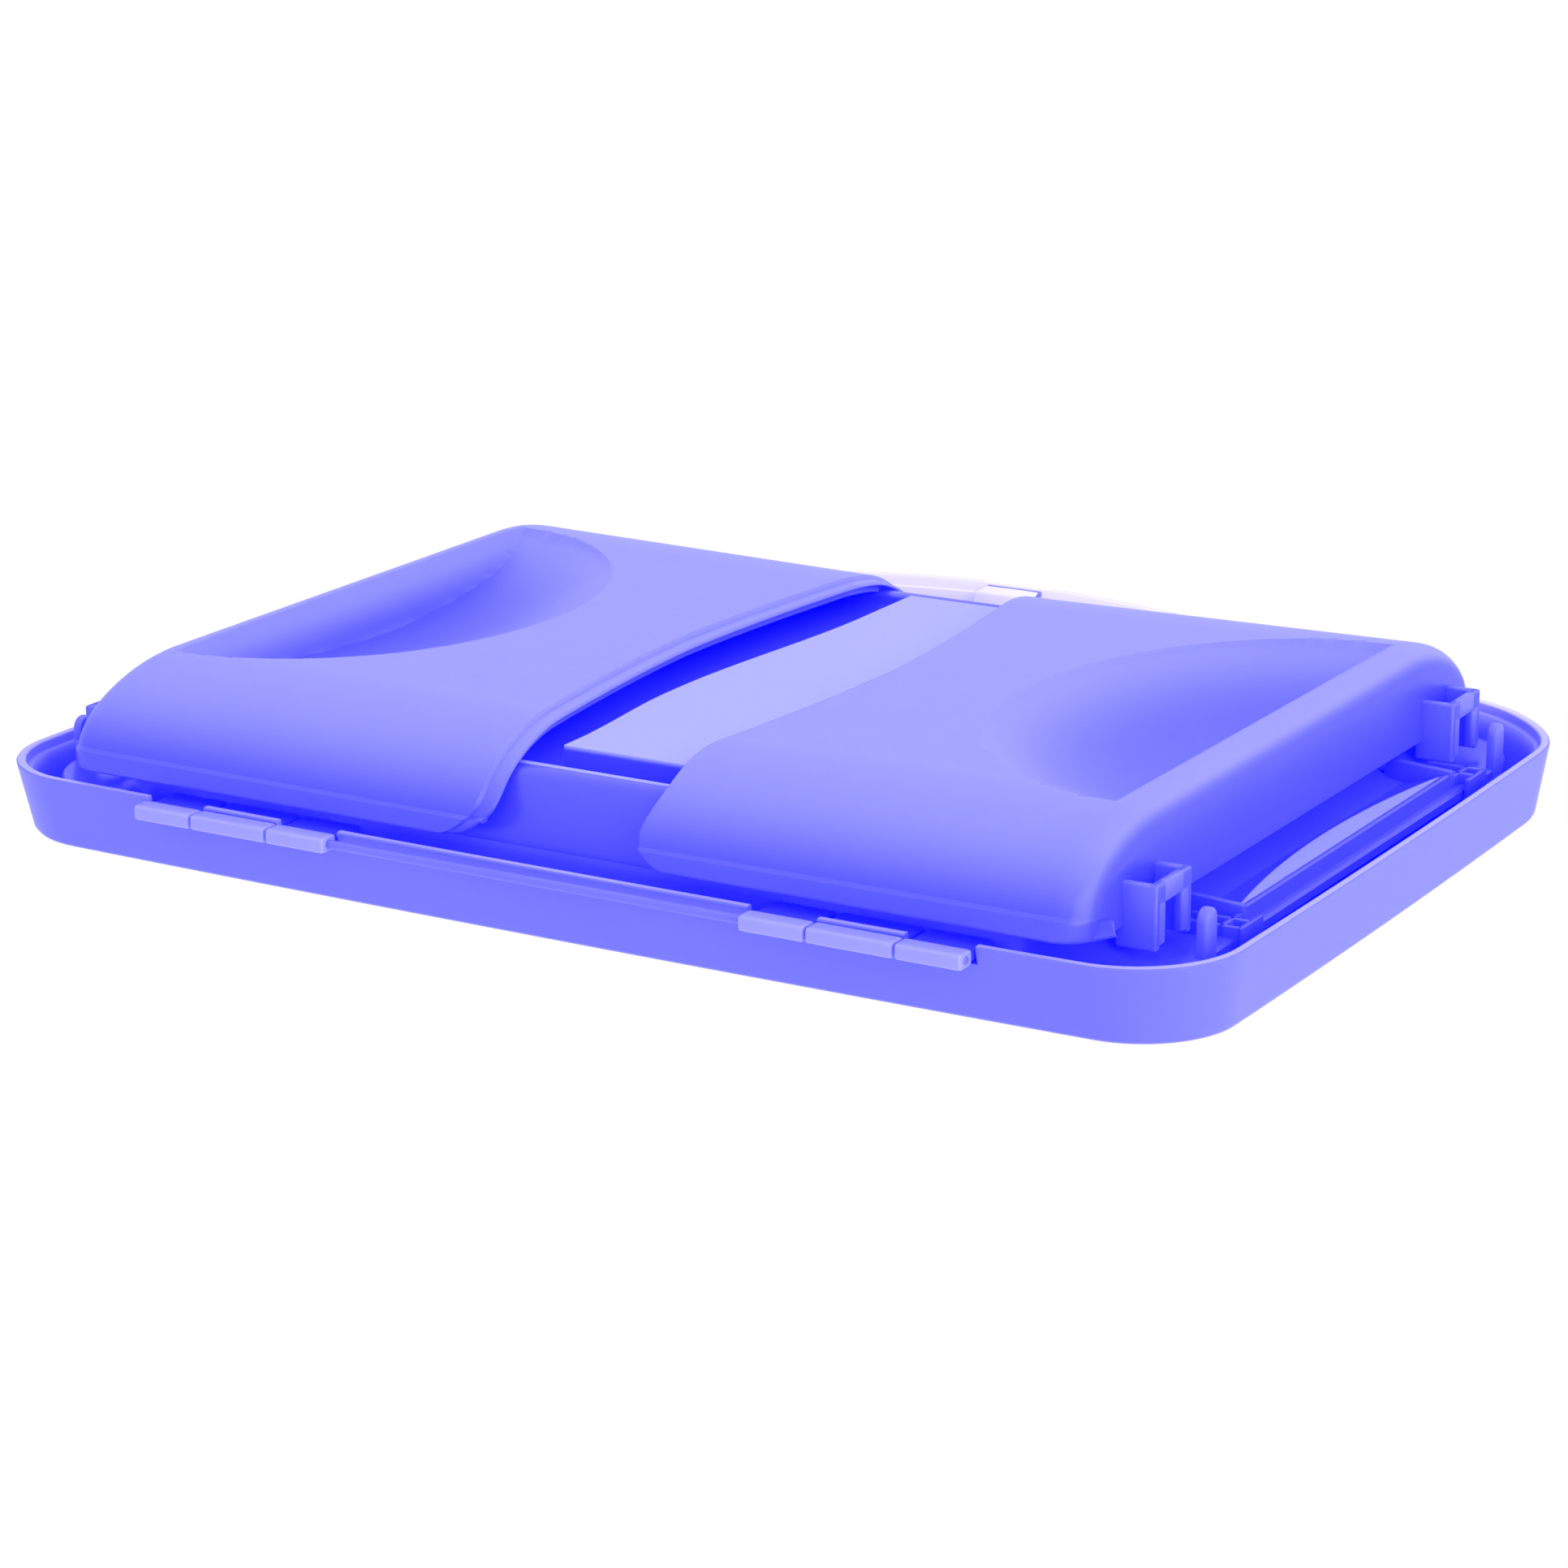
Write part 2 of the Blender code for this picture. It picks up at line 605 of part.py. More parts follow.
def make_blade(steel, plastic):
    line = [(BLADE_EDGE_Z, 0.0), (9.9, 0.15), (BLADE_TOP_Z, 0.15), (BLADE_TOP_Z, -0.15), (9.9, -0.15)]
    blade = prism("blade", line[::-1], -12.0, 12.0, 1, steel)
    parts = [blade]
    holder = box("blade_holder", (-2.6, -0.35), (-13.0, 13.0), (11.3, 13.2), plastic)
    clamp = box("blade_clamp", (0.35, 2.6), (-13.0, 13.0), (11.3, 13.2), plastic)
    for y in (-SCREW_Y, SCREW_Y):
        for part in (blade, holder, clamp):
            cut(part, rod("hole", 0.75, -4.0, 4.0, 0, (y, 12.2), plastic, 12))
        name = "blade_screw_front" if y < 0 else "blade_screw_rear"
        parts.append(make_screw(name, (y, 12.2), 0, -2.4, 2.75, 0.7, steel))
    return parts


def make_latch(paint):
    line = [
        (-35.5, 8.7),
        (-36.2, 8.7),
        (-36.7, 6.5),
        (-38.2, 4.0),
        (-40.9, 3.9),
        (-40.9, 4.5),
        (-38.9, 4.7),
        (-38.1, 5.3),
        (-37.3, 7.2),
        (-37.1, 9.7),
        (-35.5, 9.7),
    ]
    return prism("latch_catch", line, -2.8, 2.8, 0, paint)


def main():
    clear_scene()
    blue = material("frosted_blue", (0.11, 0.11, 0.92), 0.4, through=0.1)
    inner_blue = material("inner_blue", (0.14, 0.14, 0.9), 0.45)
    pale = material("pale_nylon", (0.5, 0.5, 0.85), 0.5)
    steel = material("steel", (0.6, 0.6, 0.62), 0.3, metal=1.0)
    make_lid(blue)
    make_base(blue)
    make_grip("right_grip", False, blue)
    make_grip("left_grip", True, blue)
    make_deck(inner_blue)
    box("cutting_anvil", (-1.0, 1.0), (-12.0, 12.0), (7.5, 8.5), pale)
    make_latch(inner_blue)
    rod_ends = hinge_span(1.0, -KNUCKLE_ENDS[3], KNUCKLE_ENDS[3])
    rod("hinge_rod", ROD_RADIUS, *rod_ends, 0, (HINGE_Y, HINGE_Z), pale, 16)
    make_pinion(pale)
    make_screw("pinion_pin", (0.0, 0.0), 2, 3.4, 7.0, 0.3, steel, 0.8, 0.95)
    for name, turned in (("right", False), ("left", True)):
        side = -1.0 if turned else 1.0
        make_carrier(name + "_carrier", turned, inner_blue)
        make_jaw(name + "_jaw", turned, pale)
        for y, place in ((-1.0, "front"), (1.0, "rear")):
            make_spring(f"{name}_spring_{place}", side, y * POST_Y, steel)
            make_guide_pin(f"{name}_guide_{place}", side, y * POST_Y, pale)
            make_screw(f"deck_screw_{name}_{place}", (side * 38.5, y * 17.0), 2, 5.7, 8.45, 0.7, steel)
            make_screw(f"{name}_carrier_screw_{place}", (side * 18.8, y * 4.0), 2, 2.1, 6.4, 0.7, steel)
    make_blade(steel, inner_blue)


main()
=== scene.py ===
"""Looks for a pocket pill splitter: frosted blue case, two sprung finger grips, hinged lid with a blade.

Sizes are in millimetres in the object's own frame, as in its solids, and mesh_piece turns them to metres.
"""

import math

import bmesh
import bpy
import numpy as np
from mathutils import Matrix, Vector


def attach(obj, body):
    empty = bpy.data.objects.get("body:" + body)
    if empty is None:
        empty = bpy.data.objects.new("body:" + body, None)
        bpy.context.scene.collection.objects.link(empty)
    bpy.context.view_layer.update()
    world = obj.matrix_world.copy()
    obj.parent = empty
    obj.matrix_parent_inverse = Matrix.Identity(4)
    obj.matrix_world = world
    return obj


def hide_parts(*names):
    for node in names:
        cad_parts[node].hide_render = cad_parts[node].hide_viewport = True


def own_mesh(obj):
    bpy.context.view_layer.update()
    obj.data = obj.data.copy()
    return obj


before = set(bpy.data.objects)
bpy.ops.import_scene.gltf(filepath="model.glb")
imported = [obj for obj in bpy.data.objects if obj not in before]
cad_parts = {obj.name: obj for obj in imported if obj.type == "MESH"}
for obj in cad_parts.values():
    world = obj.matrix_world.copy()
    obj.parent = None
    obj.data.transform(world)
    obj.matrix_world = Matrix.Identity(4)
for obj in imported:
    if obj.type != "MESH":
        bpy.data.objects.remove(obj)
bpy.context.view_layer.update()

MM = 0.001
CENTRE_Y = 0.713
SMOOTH_ANGLE = math.radians(38.0)
FLAT_ANGLE = math.radians(15.0)
BEVEL_ANGLE = math.radians(35.0)

# Lid
TOP_Z = 14.7
LID_DEPTH = 6.3
LID_HALF = (55.0, 37.6)
LID_FLARE = (0.8, 1.7)
RIM_RADIUS = 8.5
PANEL_RADIUS = 7.5
PANEL_EDGE = 0.55
LID_WALL = 1.1
LID_BOW = (4.0, 0.6, 0.4)
PANEL_BOW_SHARE = 0.88
ROOF_WALL = 1.4
ROOF_INSET = 1.7
LIP_DROP = 4.7
LIP_REACH = 1.13
LENS_HALF_X = 33.5
LENS_DEPTH = 1.7
LENS_TOP = 1.2
LENS_FALL = 7.2
CRESCENT_HALF_X = 41.0
CRESCENT_WIDE = 5.8
CRESCENT_DEEP = 0.6
CRESCENT_INSET = 0.9
LATCH_SLOT_HALF_X = 3.4
LATCH_SLOT_LIP = 0.7

# Hinge
HINGE_Y = 38.9
HINGE_Z = 9.2
KNUCKLES = (18.7, 24.4, 31.8, 37.4)
HINGE_SHIFT = 0.7
KNUCKLE_HALF = (0.95, 0.62)
KNUCKLE_SQUARENESS = 0.38
NOTCH_GAP = 0.1
ROD_RADIUS = 0.36

# Grips, with each rim as insets from the free edge and how far each is sunk
GRIP_END_X = 46.1
GRIP_HALF_Y = 36.9
GRIP_EDGE_Z = 7.6
GRIP_WALL = 1.0
GRIP_SLOPE = 0.6
END_ROUND = 2.6
SHOULDER_Y = 23.8
SHOULDER_DROP = 6.2
SHOULDER_POWER = 0.92
SCOOP_X = 43.2
SCOOP_LONG = 20.6
SCOOP_HALF_Y = 25.5
SCOOP_DEEP = 4.0
SCOOP_WALL = 1.5
SCOOP_BLEND = 0.15
SCOOP_RIM_POWER = 0.62
SCOOP_RAMP_POWER = 0.3
EDGE_HALF_Y = 36.0
EDGE_MIDDLE_X = 10.0
EDGE_SWEEP = 3.84
EDGE_LEAN = 0.66
EDGE_HOOK = 1.7
EDGE_HOOK_Y = 25.0
EDGE_HOOK_LONG = 10.0
EDGE_TURN_FRONT = 4.6
EDGE_TURN_REAR = 3.3
RIM_START = 0.4
RIGHT_RIM = ((0.0, 0.06, 0.2, 0.4), (0.35, 0.16, 0.05, 0.0))
LEFT_RIM = ((0.0, 0.05, 0.15, 0.3, 1.15, 1.3, 1.4), (0.75, 0.58, 0.48, 0.43, 0.38, 0.08, 0.0))
FLANGE_Z = 5.7
FLANGE_OUT = 0.4
FLANGE_STEP = 0.3
FOOT_BREAK = 0.2
FOOT_BREAK_TALL = 0.25
END_WALL_DRAFT = 0.25

# Posts, with each half wide from its middle
POST_Y = 27.6
POST_TOP_Z = 4.3
POST_OUT = 2.8
POST_CHEEK = (2.2, 2.95)
POST_FRONT = (1.3, 2.9)
POST_WALL = 0.75
POST_FOOT_Z = (9.3, 9.0)
BRIDGE_Z = 5.9

# Base: the tray as half length, half width, corner radius and level of each ring, from its floor round to
# its inside, and half of the keel's cross-section
TRAY_LEVELS = (
    (42.2, 32.4, 4.5, 5.25),
    (43.4, 33.6, 5.2, 5.7),
    (43.9, 34.5, 6.0, 7.9),
    (44.4, 34.7, 6.3, 9.0),
    (45.6, 34.8, 6.5, 9.6),
    (47.6, 34.9, 7.0, 10.0),
    (49.6, 35.0, 7.1, 9.9),
    (50.4, 35.0, 7.2, 9.75),
    (51.6, 35.2, 7.5, 9.75),
    (51.8, 35.3, 7.6, 9.95),
    (51.8, 35.2, 7.6, 10.6),
    (50.8, 34.3, 7.0, 10.7),
    (47.9, 33.9, 6.8, 10.8),
    (45.2, 33.7, 6.4, 10.3),
    (43.2, 33.5, 5.6, 8.6),
    (42.0, 32.2, 4.4, 5.75),
)
KEEL_HALF = (
    (27.5, 3.9),
    (29.6, 3.9),
    (29.8, 3.1),
    (30.1, 2.95),
    (31.0, 2.95),
    (31.7, 3.1),
    (32.3, 3.5),
    (33.2, 4.6),
    (34.0, 6.2),
    (34.6, 8.2),
    (33.0, 8.2),
    (31.0, 5.6),
)
BAND_Z = 2.05
BAND_FACE = 0.35
BAND_FOOT_Z = 4.1
BAND_HALF_Y = 27.3
BAND_EDGE_X = -3.3
KEEL_HALF_X = 15.4
# Painted highlight strip on the keel's shoulder crest: its ends along X, Y and Z
KEEL_CREST_HIGHLIGHT = ((-9.5, 8.5), (29.9, 30.5), (2.86, 3.2))
TROUGH_HALF_Y = 19.6
TROUGH_BANK = 1.9
BANK_X = 50.2
TAB_X = (51.1, 51.9)
TAB_TOP_Z = 7.2
TRAY_TOP_Z = 10.6

# Works, with the guide pin as places along it and radii
SPRING_Z = 10.2
SPRING_IN_X = 33.1
SPRING_OUT_X = 43.2
SPRING_RADIUS = 1.35
WIRE_RADIUS = 0.22
SCREW_HEAD = 0.95
SPRING_TURNS = 7.0
GUIDE_TURNING = (
    (37.4, 0.55), (37.6, 0.75), (45.3, 0.75), (45.3, 1.55), (45.4, 1.7), (45.85, 1.7), (45.95, 1.55),
    (45.95, 1.05), (46.15, 1.05), (46.15, 1.3), (46.25, 1.45), (46.6, 1.45), (46.7, 1.3),
)
DECK_SCREW = (38.5, 17.0, 8.8)

# White tent: its level, and what is added above and below and to the right
TENT_LEVEL = 0.78
TENT_ENDS = 0.45
TENT_RIGHT = 0.05

# Plastics: colour, roughness, share of light that travels inside, and a painted blue glow that lifts shade
# to blue; some colours hold painted light or shade, as noted at each
PLASTICS = {
    "frosted_blue": ((0.16, 0.162, 0.97), 0.33, 0.35, 0.1),
    "frosted_lid": ((0.16, 0.162, 0.97), 0.33, 0.35, 0.1),
    # Painted light: the grip colour is lighter than the case's, for the brighter light on the grip faces
    "frosted_grip_lit_and_shaded": ((0.225, 0.228, 0.97), 0.33, 0.35, 0.1),
    # Painted light: a pale copy of the plastic for the band's lit face, the keel crest highlight and the
    # trough bank reflection
    "frosted_painted_light": ((0.34, 0.35, 0.98), 0.33, 0.35, 0.2),
    # Painted shade: a dark copy of the plastic for the tray, keel, band sides, troughs and hinge arms, where
    # shade falls
    "frosted_painted_shade": ((0.075, 0.076, 0.9), 0.3, 0.3, 0.45),
    "inner_blue": ((0.1, 0.1, 0.92), 0.42, 0.25, 0.3),
    "pale_nylon": ((0.33, 0.33, 0.95), 0.4, 0.35, 0.15),
}
# Painted shade colour for the grip's walls and scoops
PAINTED_GRIP_SHADE = (0.07, 0.072, 0.92)
# Painted light on the inside of the lid's rim, for light that passes through it
THROUGH_LIGHT_COLOUR = (0.83, 0.78, 0.98, 1.0)
THROUGH_LIGHT_RIM = 0.3
THROUGH_LIGHT_LIP = 0.7
# Painted glow colour: blue emission that lifts shaded places, though the plastic is no lamp
GLOW_COLOUR = (0.0, 0.0, 1.0, 1.0)
MOTTLE = 0.06
GRAIN = 0.5


# ---------------------------------------------------------------- stage, camera and light

def place_camera():
    """Looks at the grip side from below the hinge side, with that side turned up in the picture."""
    camera = bpy.data.objects.new("camera", bpy.data.cameras.new("camera"))
    bpy.context.scene.collection.objects.link(camera)
    right = Vector((0.8602, -0.5100, 0.0060)).normalized()
    up = Vector((-0.1411, -0.2493, -0.9581))
    up = (up - up.dot(right) * right).normalized()
    back = right.cross(up)
    turn = Matrix((right, up, back)).transposed().to_4x4()
    camera.matrix_world = Matrix.Translation((0.1763, 0.2971, -0.0913)) @ turn
    camera.data.sensor_width = 36.0
    camera.data.lens = 99.5
    camera.data.clip_start = 0.01
    bpy.context.scene.camera = camera


def math_node(nodes, links, operation, *values):
    """Result of a Math node over sockets and plain numbers, in their order."""
    node = nodes.new("ShaderNodeMath")
    node.operation = operation
    for socket, value in zip(node.inputs, values):
        if isinstance(value, bpy.types.NodeSocket):
            links.new(value, socket)
        else:
            socket.default_value = value
    return node.outputs[0]


def light_world():
    """White tent, brighter above, below and to the right; the camera sees it as plain white."""
    world = bpy.data.worlds.new("white_tent")
    bpy.context.scene.world = world
    world.use_nodes = True
    nodes, links = world.node_tree.nodes, world.node_tree.links
    nodes.clear()
    place = nodes.new("ShaderNodeTexCoord")
    parts = nodes.new("ShaderNodeSeparateXYZ")
    links.new(place.outputs["Generated"], parts.inputs[0])
    tall = math_node(nodes, links, "ABSOLUTE", parts.outputs["Z"])
    height = math_node(nodes, links, "MULTIPLY_ADD", tall, TENT_ENDS, TENT_LEVEL)
    sideways = math_node(nodes, links, "MULTIPLY_ADD", parts.outputs["X"], TENT_RIGHT, height)
    lit = nodes.new("ShaderNodeBackground")
    lit.inputs["Color"].default_value = (1.0, 1.0, 1.0, 1.0)
    links.new(sideways, lit.inputs["Strength"])
    seen = nodes.new("ShaderNodeBackground")
    seen.inputs["Color"].default_value = (1.0, 1.0, 1.0, 1.0)
    seen.inputs["Strength"].default_value = 1.0
    path = nodes.new("ShaderNodeLightPath")
    mix = nodes.new("ShaderNodeMixShader")
    out = nodes.new("ShaderNodeOutputWorld")
    links.new(path.outputs["Is Camera Ray"], mix.inputs["Fac"])
    links.new(lit.outputs[0], mix.inputs[1])
    links.new(seen.outputs[0], mix.inputs[2])
    links.new(mix.outputs[0], out.inputs["Surface"])


def add_lamp(name, place, aim, size, watts):
    lamp = bpy.data.lights.new(name, "AREA")
    lamp.shape = "SQUARE"
    lamp.size = size
    lamp.energy = watts
    holder = bpy.data.objects.new(name, lamp)
    bpy.context.scene.collection.objects.link(holder)
    direction = Vector(aim) - Vector(place)
    holder.matrix_world = Matrix.Translation(place) @ direction.to_track_quat("-Z", "Y").to_matrix().to_4x4()


def lay_floor():
    """Pale floor that the case stands on. It is clear from below, and throws no shade on the grips."""
    half = 1.5
    corners = [(-half, -half, 0.0), (half, -half, 0.0), (half, half, 0.0), (-half, half, 0.0)]
    mesh = bpy.data.meshes.new("floor")
    mesh.from_pydata(corners, [], [(0, 1, 2, 3)])
    floor = bpy.data.objects.new("floor", mesh)
    bpy.context.scene.collection.objects.link(floor)
    paint = bpy.data.materials.new("pale_floor")
    paint.use_nodes = True
    nodes, links = paint.node_tree.nodes, paint.node_tree.links
    shader = nodes["Principled BSDF"]
    shader.inputs["Base Color"].default_value = (0.93, 0.93, 0.93, 1.0)
    shader.inputs["Roughness"].default_value = 0.8
    shader.inputs["Specular IOR Level"].default_value = 0.1
    clear = nodes.new("ShaderNodeBsdfTransparent")
    side = nodes.new("ShaderNodeNewGeometry")
    mix = nodes.new("ShaderNodeMixShader")
    links.new(side.outputs["Backfacing"], mix.inputs["Fac"])
    links.new(shader.outputs[0], mix.inputs[1])
    links.new(clear.outputs[0], mix.inputs[2])
    links.new(mix.outputs[0], nodes["Material Output"].inputs["Surface"])
    mesh.materials.append(paint)
    floor.visible_diffuse = False
    floor.visible_glossy = False
    floor.visible_transmission = False
    floor.visible_shadow = False


# ---------------------------------------------------------------- materials

def ranged(nodes, links, value, start, end):
    """A value's place between two limits in millimetres, from 0 to 1."""
    node = nodes.new("ShaderNodeMapRange")
    node.interpolation_type = "SMOOTHSTEP"
    node.inputs["From Min"].default_value = start * MM
    node.inputs["From Max"].default_value = end * MM
    links.new(value, node.inputs["Value"])
    return node.outputs["Result"]


def painted_grip_shade(nodes, links, place):
    """Painted shade mask: 1 on a grip's end wall and at the bottom of its scoop, less on its side walls, 0
    elsewhere, where shade falls.
    """
    parts = nodes.new("ShaderNodeSeparateXYZ")
    links.new(place.outputs["Object"], parts.inputs[0])
    long, wide = (math_node(nodes, links, "ABSOLUTE", parts.outputs[axis]) for axis in ("X", "Y"))
    end_wall = ranged(nodes, links, long, GRIP_END_X - 0.9, GRIP_END_X - 0.1)
    low = ranged(nodes, links, parts.outputs["Z"], 0.7, 3.6)
    flat = ranged(nodes, links, wide, SCOOP_HALF_Y - 0.5, SCOOP_HALF_Y - 3.0)
    scooped = math_node(nodes, links, "MULTIPLY", low, flat)
    sides = math_node(nodes, links, "MULTIPLY", ranged(nodes, links, parts.outputs["Z"], 1.0, 6.0), 0.9)
    most = math_node(nodes, links, "MAXIMUM", sides, end_wall)
    return math_node(nodes, links, "MAXIMUM", most, scooped)


def moulded_plastic(name, deep=None):
    """Frosted moulded plastic: milky depth, faint flow clouds and a fine sparked grain.

    deep is a painted shade colour that a grip takes in its scoop and on its walls, where shade falls.
    """
    colour, rough, inside, glow = PLASTICS[name]
    made = bpy.data.materials.new(name)
    made.use_nodes = True
    nodes, links = made.node_tree.nodes, made.node_tree.links
    shader = nodes["Principled BSDF"]
    shader.inputs["IOR"].default_value = 1.5
    shader.inputs["Subsurface Weight"].default_value = inside
    shader.inputs["Subsurface Radius"].default_value = (0.25, 0.25, 1.0)
    shader.inputs["Subsurface Scale"].default_value = 0.003
    # Painted glow: the blue emission lifts shaded places to blue
    shader.inputs["Emission Color"].default_value = GLOW_COLOUR
    shader.inputs["Emission Strength"].default_value = glow
    place = nodes.new("ShaderNodeTexCoord")
    clouds = nodes.new("ShaderNodeTexNoise")
    clouds.inputs["Scale"].default_value = 60.0
    clouds.inputs["Detail"].default_value = 3.0
    links.new(place.outputs["Object"], clouds.inputs["Vector"])
    tint = nodes.new("ShaderNodeMix")
    tint.data_type = "RGBA"
    low = [part * (1.0 - MOTTLE) for part in colour]
    high = [min(part * (1.0 + MOTTLE), 1.0) for part in colour]
    tint.inputs["A"].default_value = (*low, 1.0)
    tint.inputs["B"].default_value = (*high, 1.0)
    links.new(clouds.outputs["Fac"], tint.inputs["Factor"])
    if deep is None:
        links.new(tint.outputs["Result"], shader.inputs["Base Color"])
    # Painted shade: the grip's colour darkens towards deep on its end wall, side walls and scoop bottom
    else:
        shade = nodes.new("ShaderNodeMix")
        shade.data_type = "RGBA"
        shade.inputs["B"].default_value = (*deep, 1.0)
        links.new(tint.outputs["Result"], shade.inputs["A"])
        links.new(painted_grip_shade(nodes, links, place), shade.inputs["Factor"])
        links.new(shade.outputs["Result"], shader.inputs["Base Color"])
    gloss = nodes.new("ShaderNodeMapRange")
    gloss.inputs["To Min"].default_value = rough - 0.05
    gloss.inputs["To Max"].default_value = rough + 0.07
    links.new(clouds.outputs["Fac"], gloss.inputs["Value"])
    links.new(gloss.outputs["Result"], shader.inputs["Roughness"])
    sparks = nodes.new("ShaderNodeTexNoise")
    sparks.inputs["Scale"].default_value = 5200.0
    sparks.inputs["Detail"].default_value = 2.0
    links.new(place.outputs["Object"], sparks.inputs["Vector"])
    waves = nodes.new("ShaderNodeTexNoise")
    waves.inputs["Scale"].default_value = 420.0
    waves.inputs["Detail"].default_value = 1.0
    links.new(place.outputs["Object"], waves.inputs["Vector"])
    fine = nodes.new("ShaderNodeBump")
    fine.inputs["Strength"].default_value = 0.35 * GRAIN
    fine.inputs["Distance"].default_value = 0.00004
    links.new(sparks.outputs["Fac"], fine.inputs["Height"])
    slow = nodes.new("ShaderNodeBump")
    slow.inputs["Strength"].default_value = 0.25 * GRAIN
    slow.inputs["Distance"].default_value = 0.0001
    links.new(waves.outputs["Fac"], slow.inputs["Height"])
    links.new(fine.outputs["Normal"], slow.inputs["Normal"])
    links.new(slow.outputs["Normal"], shader.inputs["Normal"])
    return made


def paint_light_through_rim(made):
    """Paints light on the inside of the lid's thin rim, for light that passes through the plastic, most of
    all on the deep lip at its front.
    """
    nodes, links = made.node_tree.nodes, made.node_tree.links
    place = nodes.new("ShaderNodeTexCoord")
    parts = nodes.new("ShaderNodeSeparateXYZ")
    links.new(place.outputs["Object"], parts.inputs[0])
    near_rim = ranged(nodes, links, parts.outputs["Z"], 10.2, 8.2)
    lip = ranged(nodes, links, parts.outputs["Z"], 8.6, 7.2)
    rim = math_node(nodes, links, "MULTIPLY", near_rim, THROUGH_LIGHT_RIM)
    share = math_node(nodes, links, "MULTIPLY_ADD", lip, THROUGH_LIGHT_LIP, rim)
    facing = nodes.new("ShaderNodeVectorMath")
    facing.operation = "DOT_PRODUCT"
    links.new(place.outputs["Object"], facing.inputs[0])
    links.new(place.outputs["Normal"], facing.inputs[1])
    inside = math_node(nodes, links, "LESS_THAN", facing.outputs["Value"], 0.0)
    amount = math_node(nodes, links, "MULTIPLY", share, inside)
    through_light = nodes.new("ShaderNodeBsdfDiffuse")
    through_light.inputs["Color"].default_value = THROUGH_LIGHT_COLOUR
    mix = nodes.new("ShaderNodeMixShader")
    links.new(amount, mix.inputs["Fac"])
    links.new(nodes["Principled BSDF"].outputs[0], mix.inputs[1])
    links.new(through_light.outputs[0], mix.inputs[2])
    links.new(mix.outputs[0], nodes["Material Output"].inputs["Surface"])


def ground_steel(name):
    """Bright steel with fine grinding lines."""
    made = bpy.data.materials.new(name)
    made.use_nodes = True
    nodes, links = made.node_tree.nodes, made.node_tree.links
    shader = nodes["Principled BSDF"]
    shader.inputs["Metallic"].default_value = 1.0
    place = nodes.new("ShaderNodeTexCoord")
    stretch = nodes.new("ShaderNodeMapping")
    stretch.inputs["Scale"].default_value = (1.0, 0.03, 1.0)
    links.new(place.outputs["Object"], stretch.inputs["Vector"])
    lines = nodes.new("ShaderNodeTexNoise")
    lines.inputs["Scale"].default_value = 4000.0
    links.new(stretch.outputs["Vector"], lines.inputs["Vector"])
    tint = nodes.new("ShaderNodeMix")
    tint.data_type = "RGBA"
    tint.inputs["A"].default_value = (0.5, 0.51, 0.54, 1.0)
    tint.inputs["B"].default_value = (0.74, 0.75, 0.78, 1.0)
    links.new(lines.outputs["Fac"], tint.inputs["Factor"])
    links.new(tint.outputs["Result"], shader.inputs["Base Color"])
    gloss = nodes.new("ShaderNodeMapRange")
    gloss.inputs["To Min"].default_value = 0.18
    gloss.inputs["To Max"].default_value = 0.36
    links.new(lines.outputs["Fac"], gloss.inputs["Value"])
    links.new(gloss.outputs["Result"], shader.inputs["Roughness"])
    bump = nodes.new("ShaderNodeBump")
    bump.inputs["Strength"].default_value = 0.15
    bump.inputs["Distance"].default_value = 0.00003
    links.new(lines.outputs["Fac"], bump.inputs["Height"])
    links.new(bump.outputs["Normal"], shader.inputs["Normal"])
    return made


# ---------------------------------------------------------------- mesh helpers

def finish_mesh(mesh, paint, smooth=SMOOTH_ANGLE):
    mesh.materials.clear()
    mesh.materials.append(paint)
    mesh.shade_smooth()
    mesh.set_sharp_from_angle(angle=smooth)


def mesh_piece(name, points, faces, paint, outwards=True):
    """Makes a piece of points in millimetres, at the origin, its faces turned outwards if it is closed."""
    mesh = bpy.data.meshes.new(name)
    shifted = (np.asarray(points, float) + (0.0, CENTRE_Y, 0.0)) * MM
    mesh.from_pydata(shifted.tolist(), [], [list(map(int, face)) for face in faces])
    if outwards:
        work = bmesh.new()
        work.from_mesh(mesh)
        bmesh.ops.remove_doubles(work, verts=work.verts, dist=1e-7)
        bmesh.ops.recalc_face_normals(work, faces=work.faces)
        work.to_mesh(mesh)
        work.free()
    finish_mesh(mesh, paint)
    piece = bpy.data.objects.new(name, mesh)
    bpy.context.scene.collection.objects.link(piece)
    return piece


def apply_modifiers(piece, paint):
    graph = bpy.context.evaluated_depsgraph_get()
    done = bpy.data.meshes.new_from_object(piece.evaluated_get(graph))
    piece.modifiers.clear()
    piece.data = done
    finish_mesh(done, paint)
    return piece


def bevelled(piece, width, paint, segments=2):
    """Rounds every edge sharper than the bevel angle."""
    edge = piece.modifiers.new("edge", "BEVEL")
    edge.width = width * MM
    edge.segments = segments
    edge.limit_method = "ANGLE"
    edge.angle_limit = BEVEL_ANGLE
    return apply_modifiers(piece, paint)


def cut_away(piece, tools, paint):
    for tool in tools:
        change = piece.modifiers.new("cut", "BOOLEAN")
        change.operation = "DIFFERENCE"
        change.solver = "EXACT"
        change.object = tool
    apply_modifiers(piece, paint)
    for tool in tools:
        bpy.data.objects.remove(tool, do_unlink=True)
    return piece


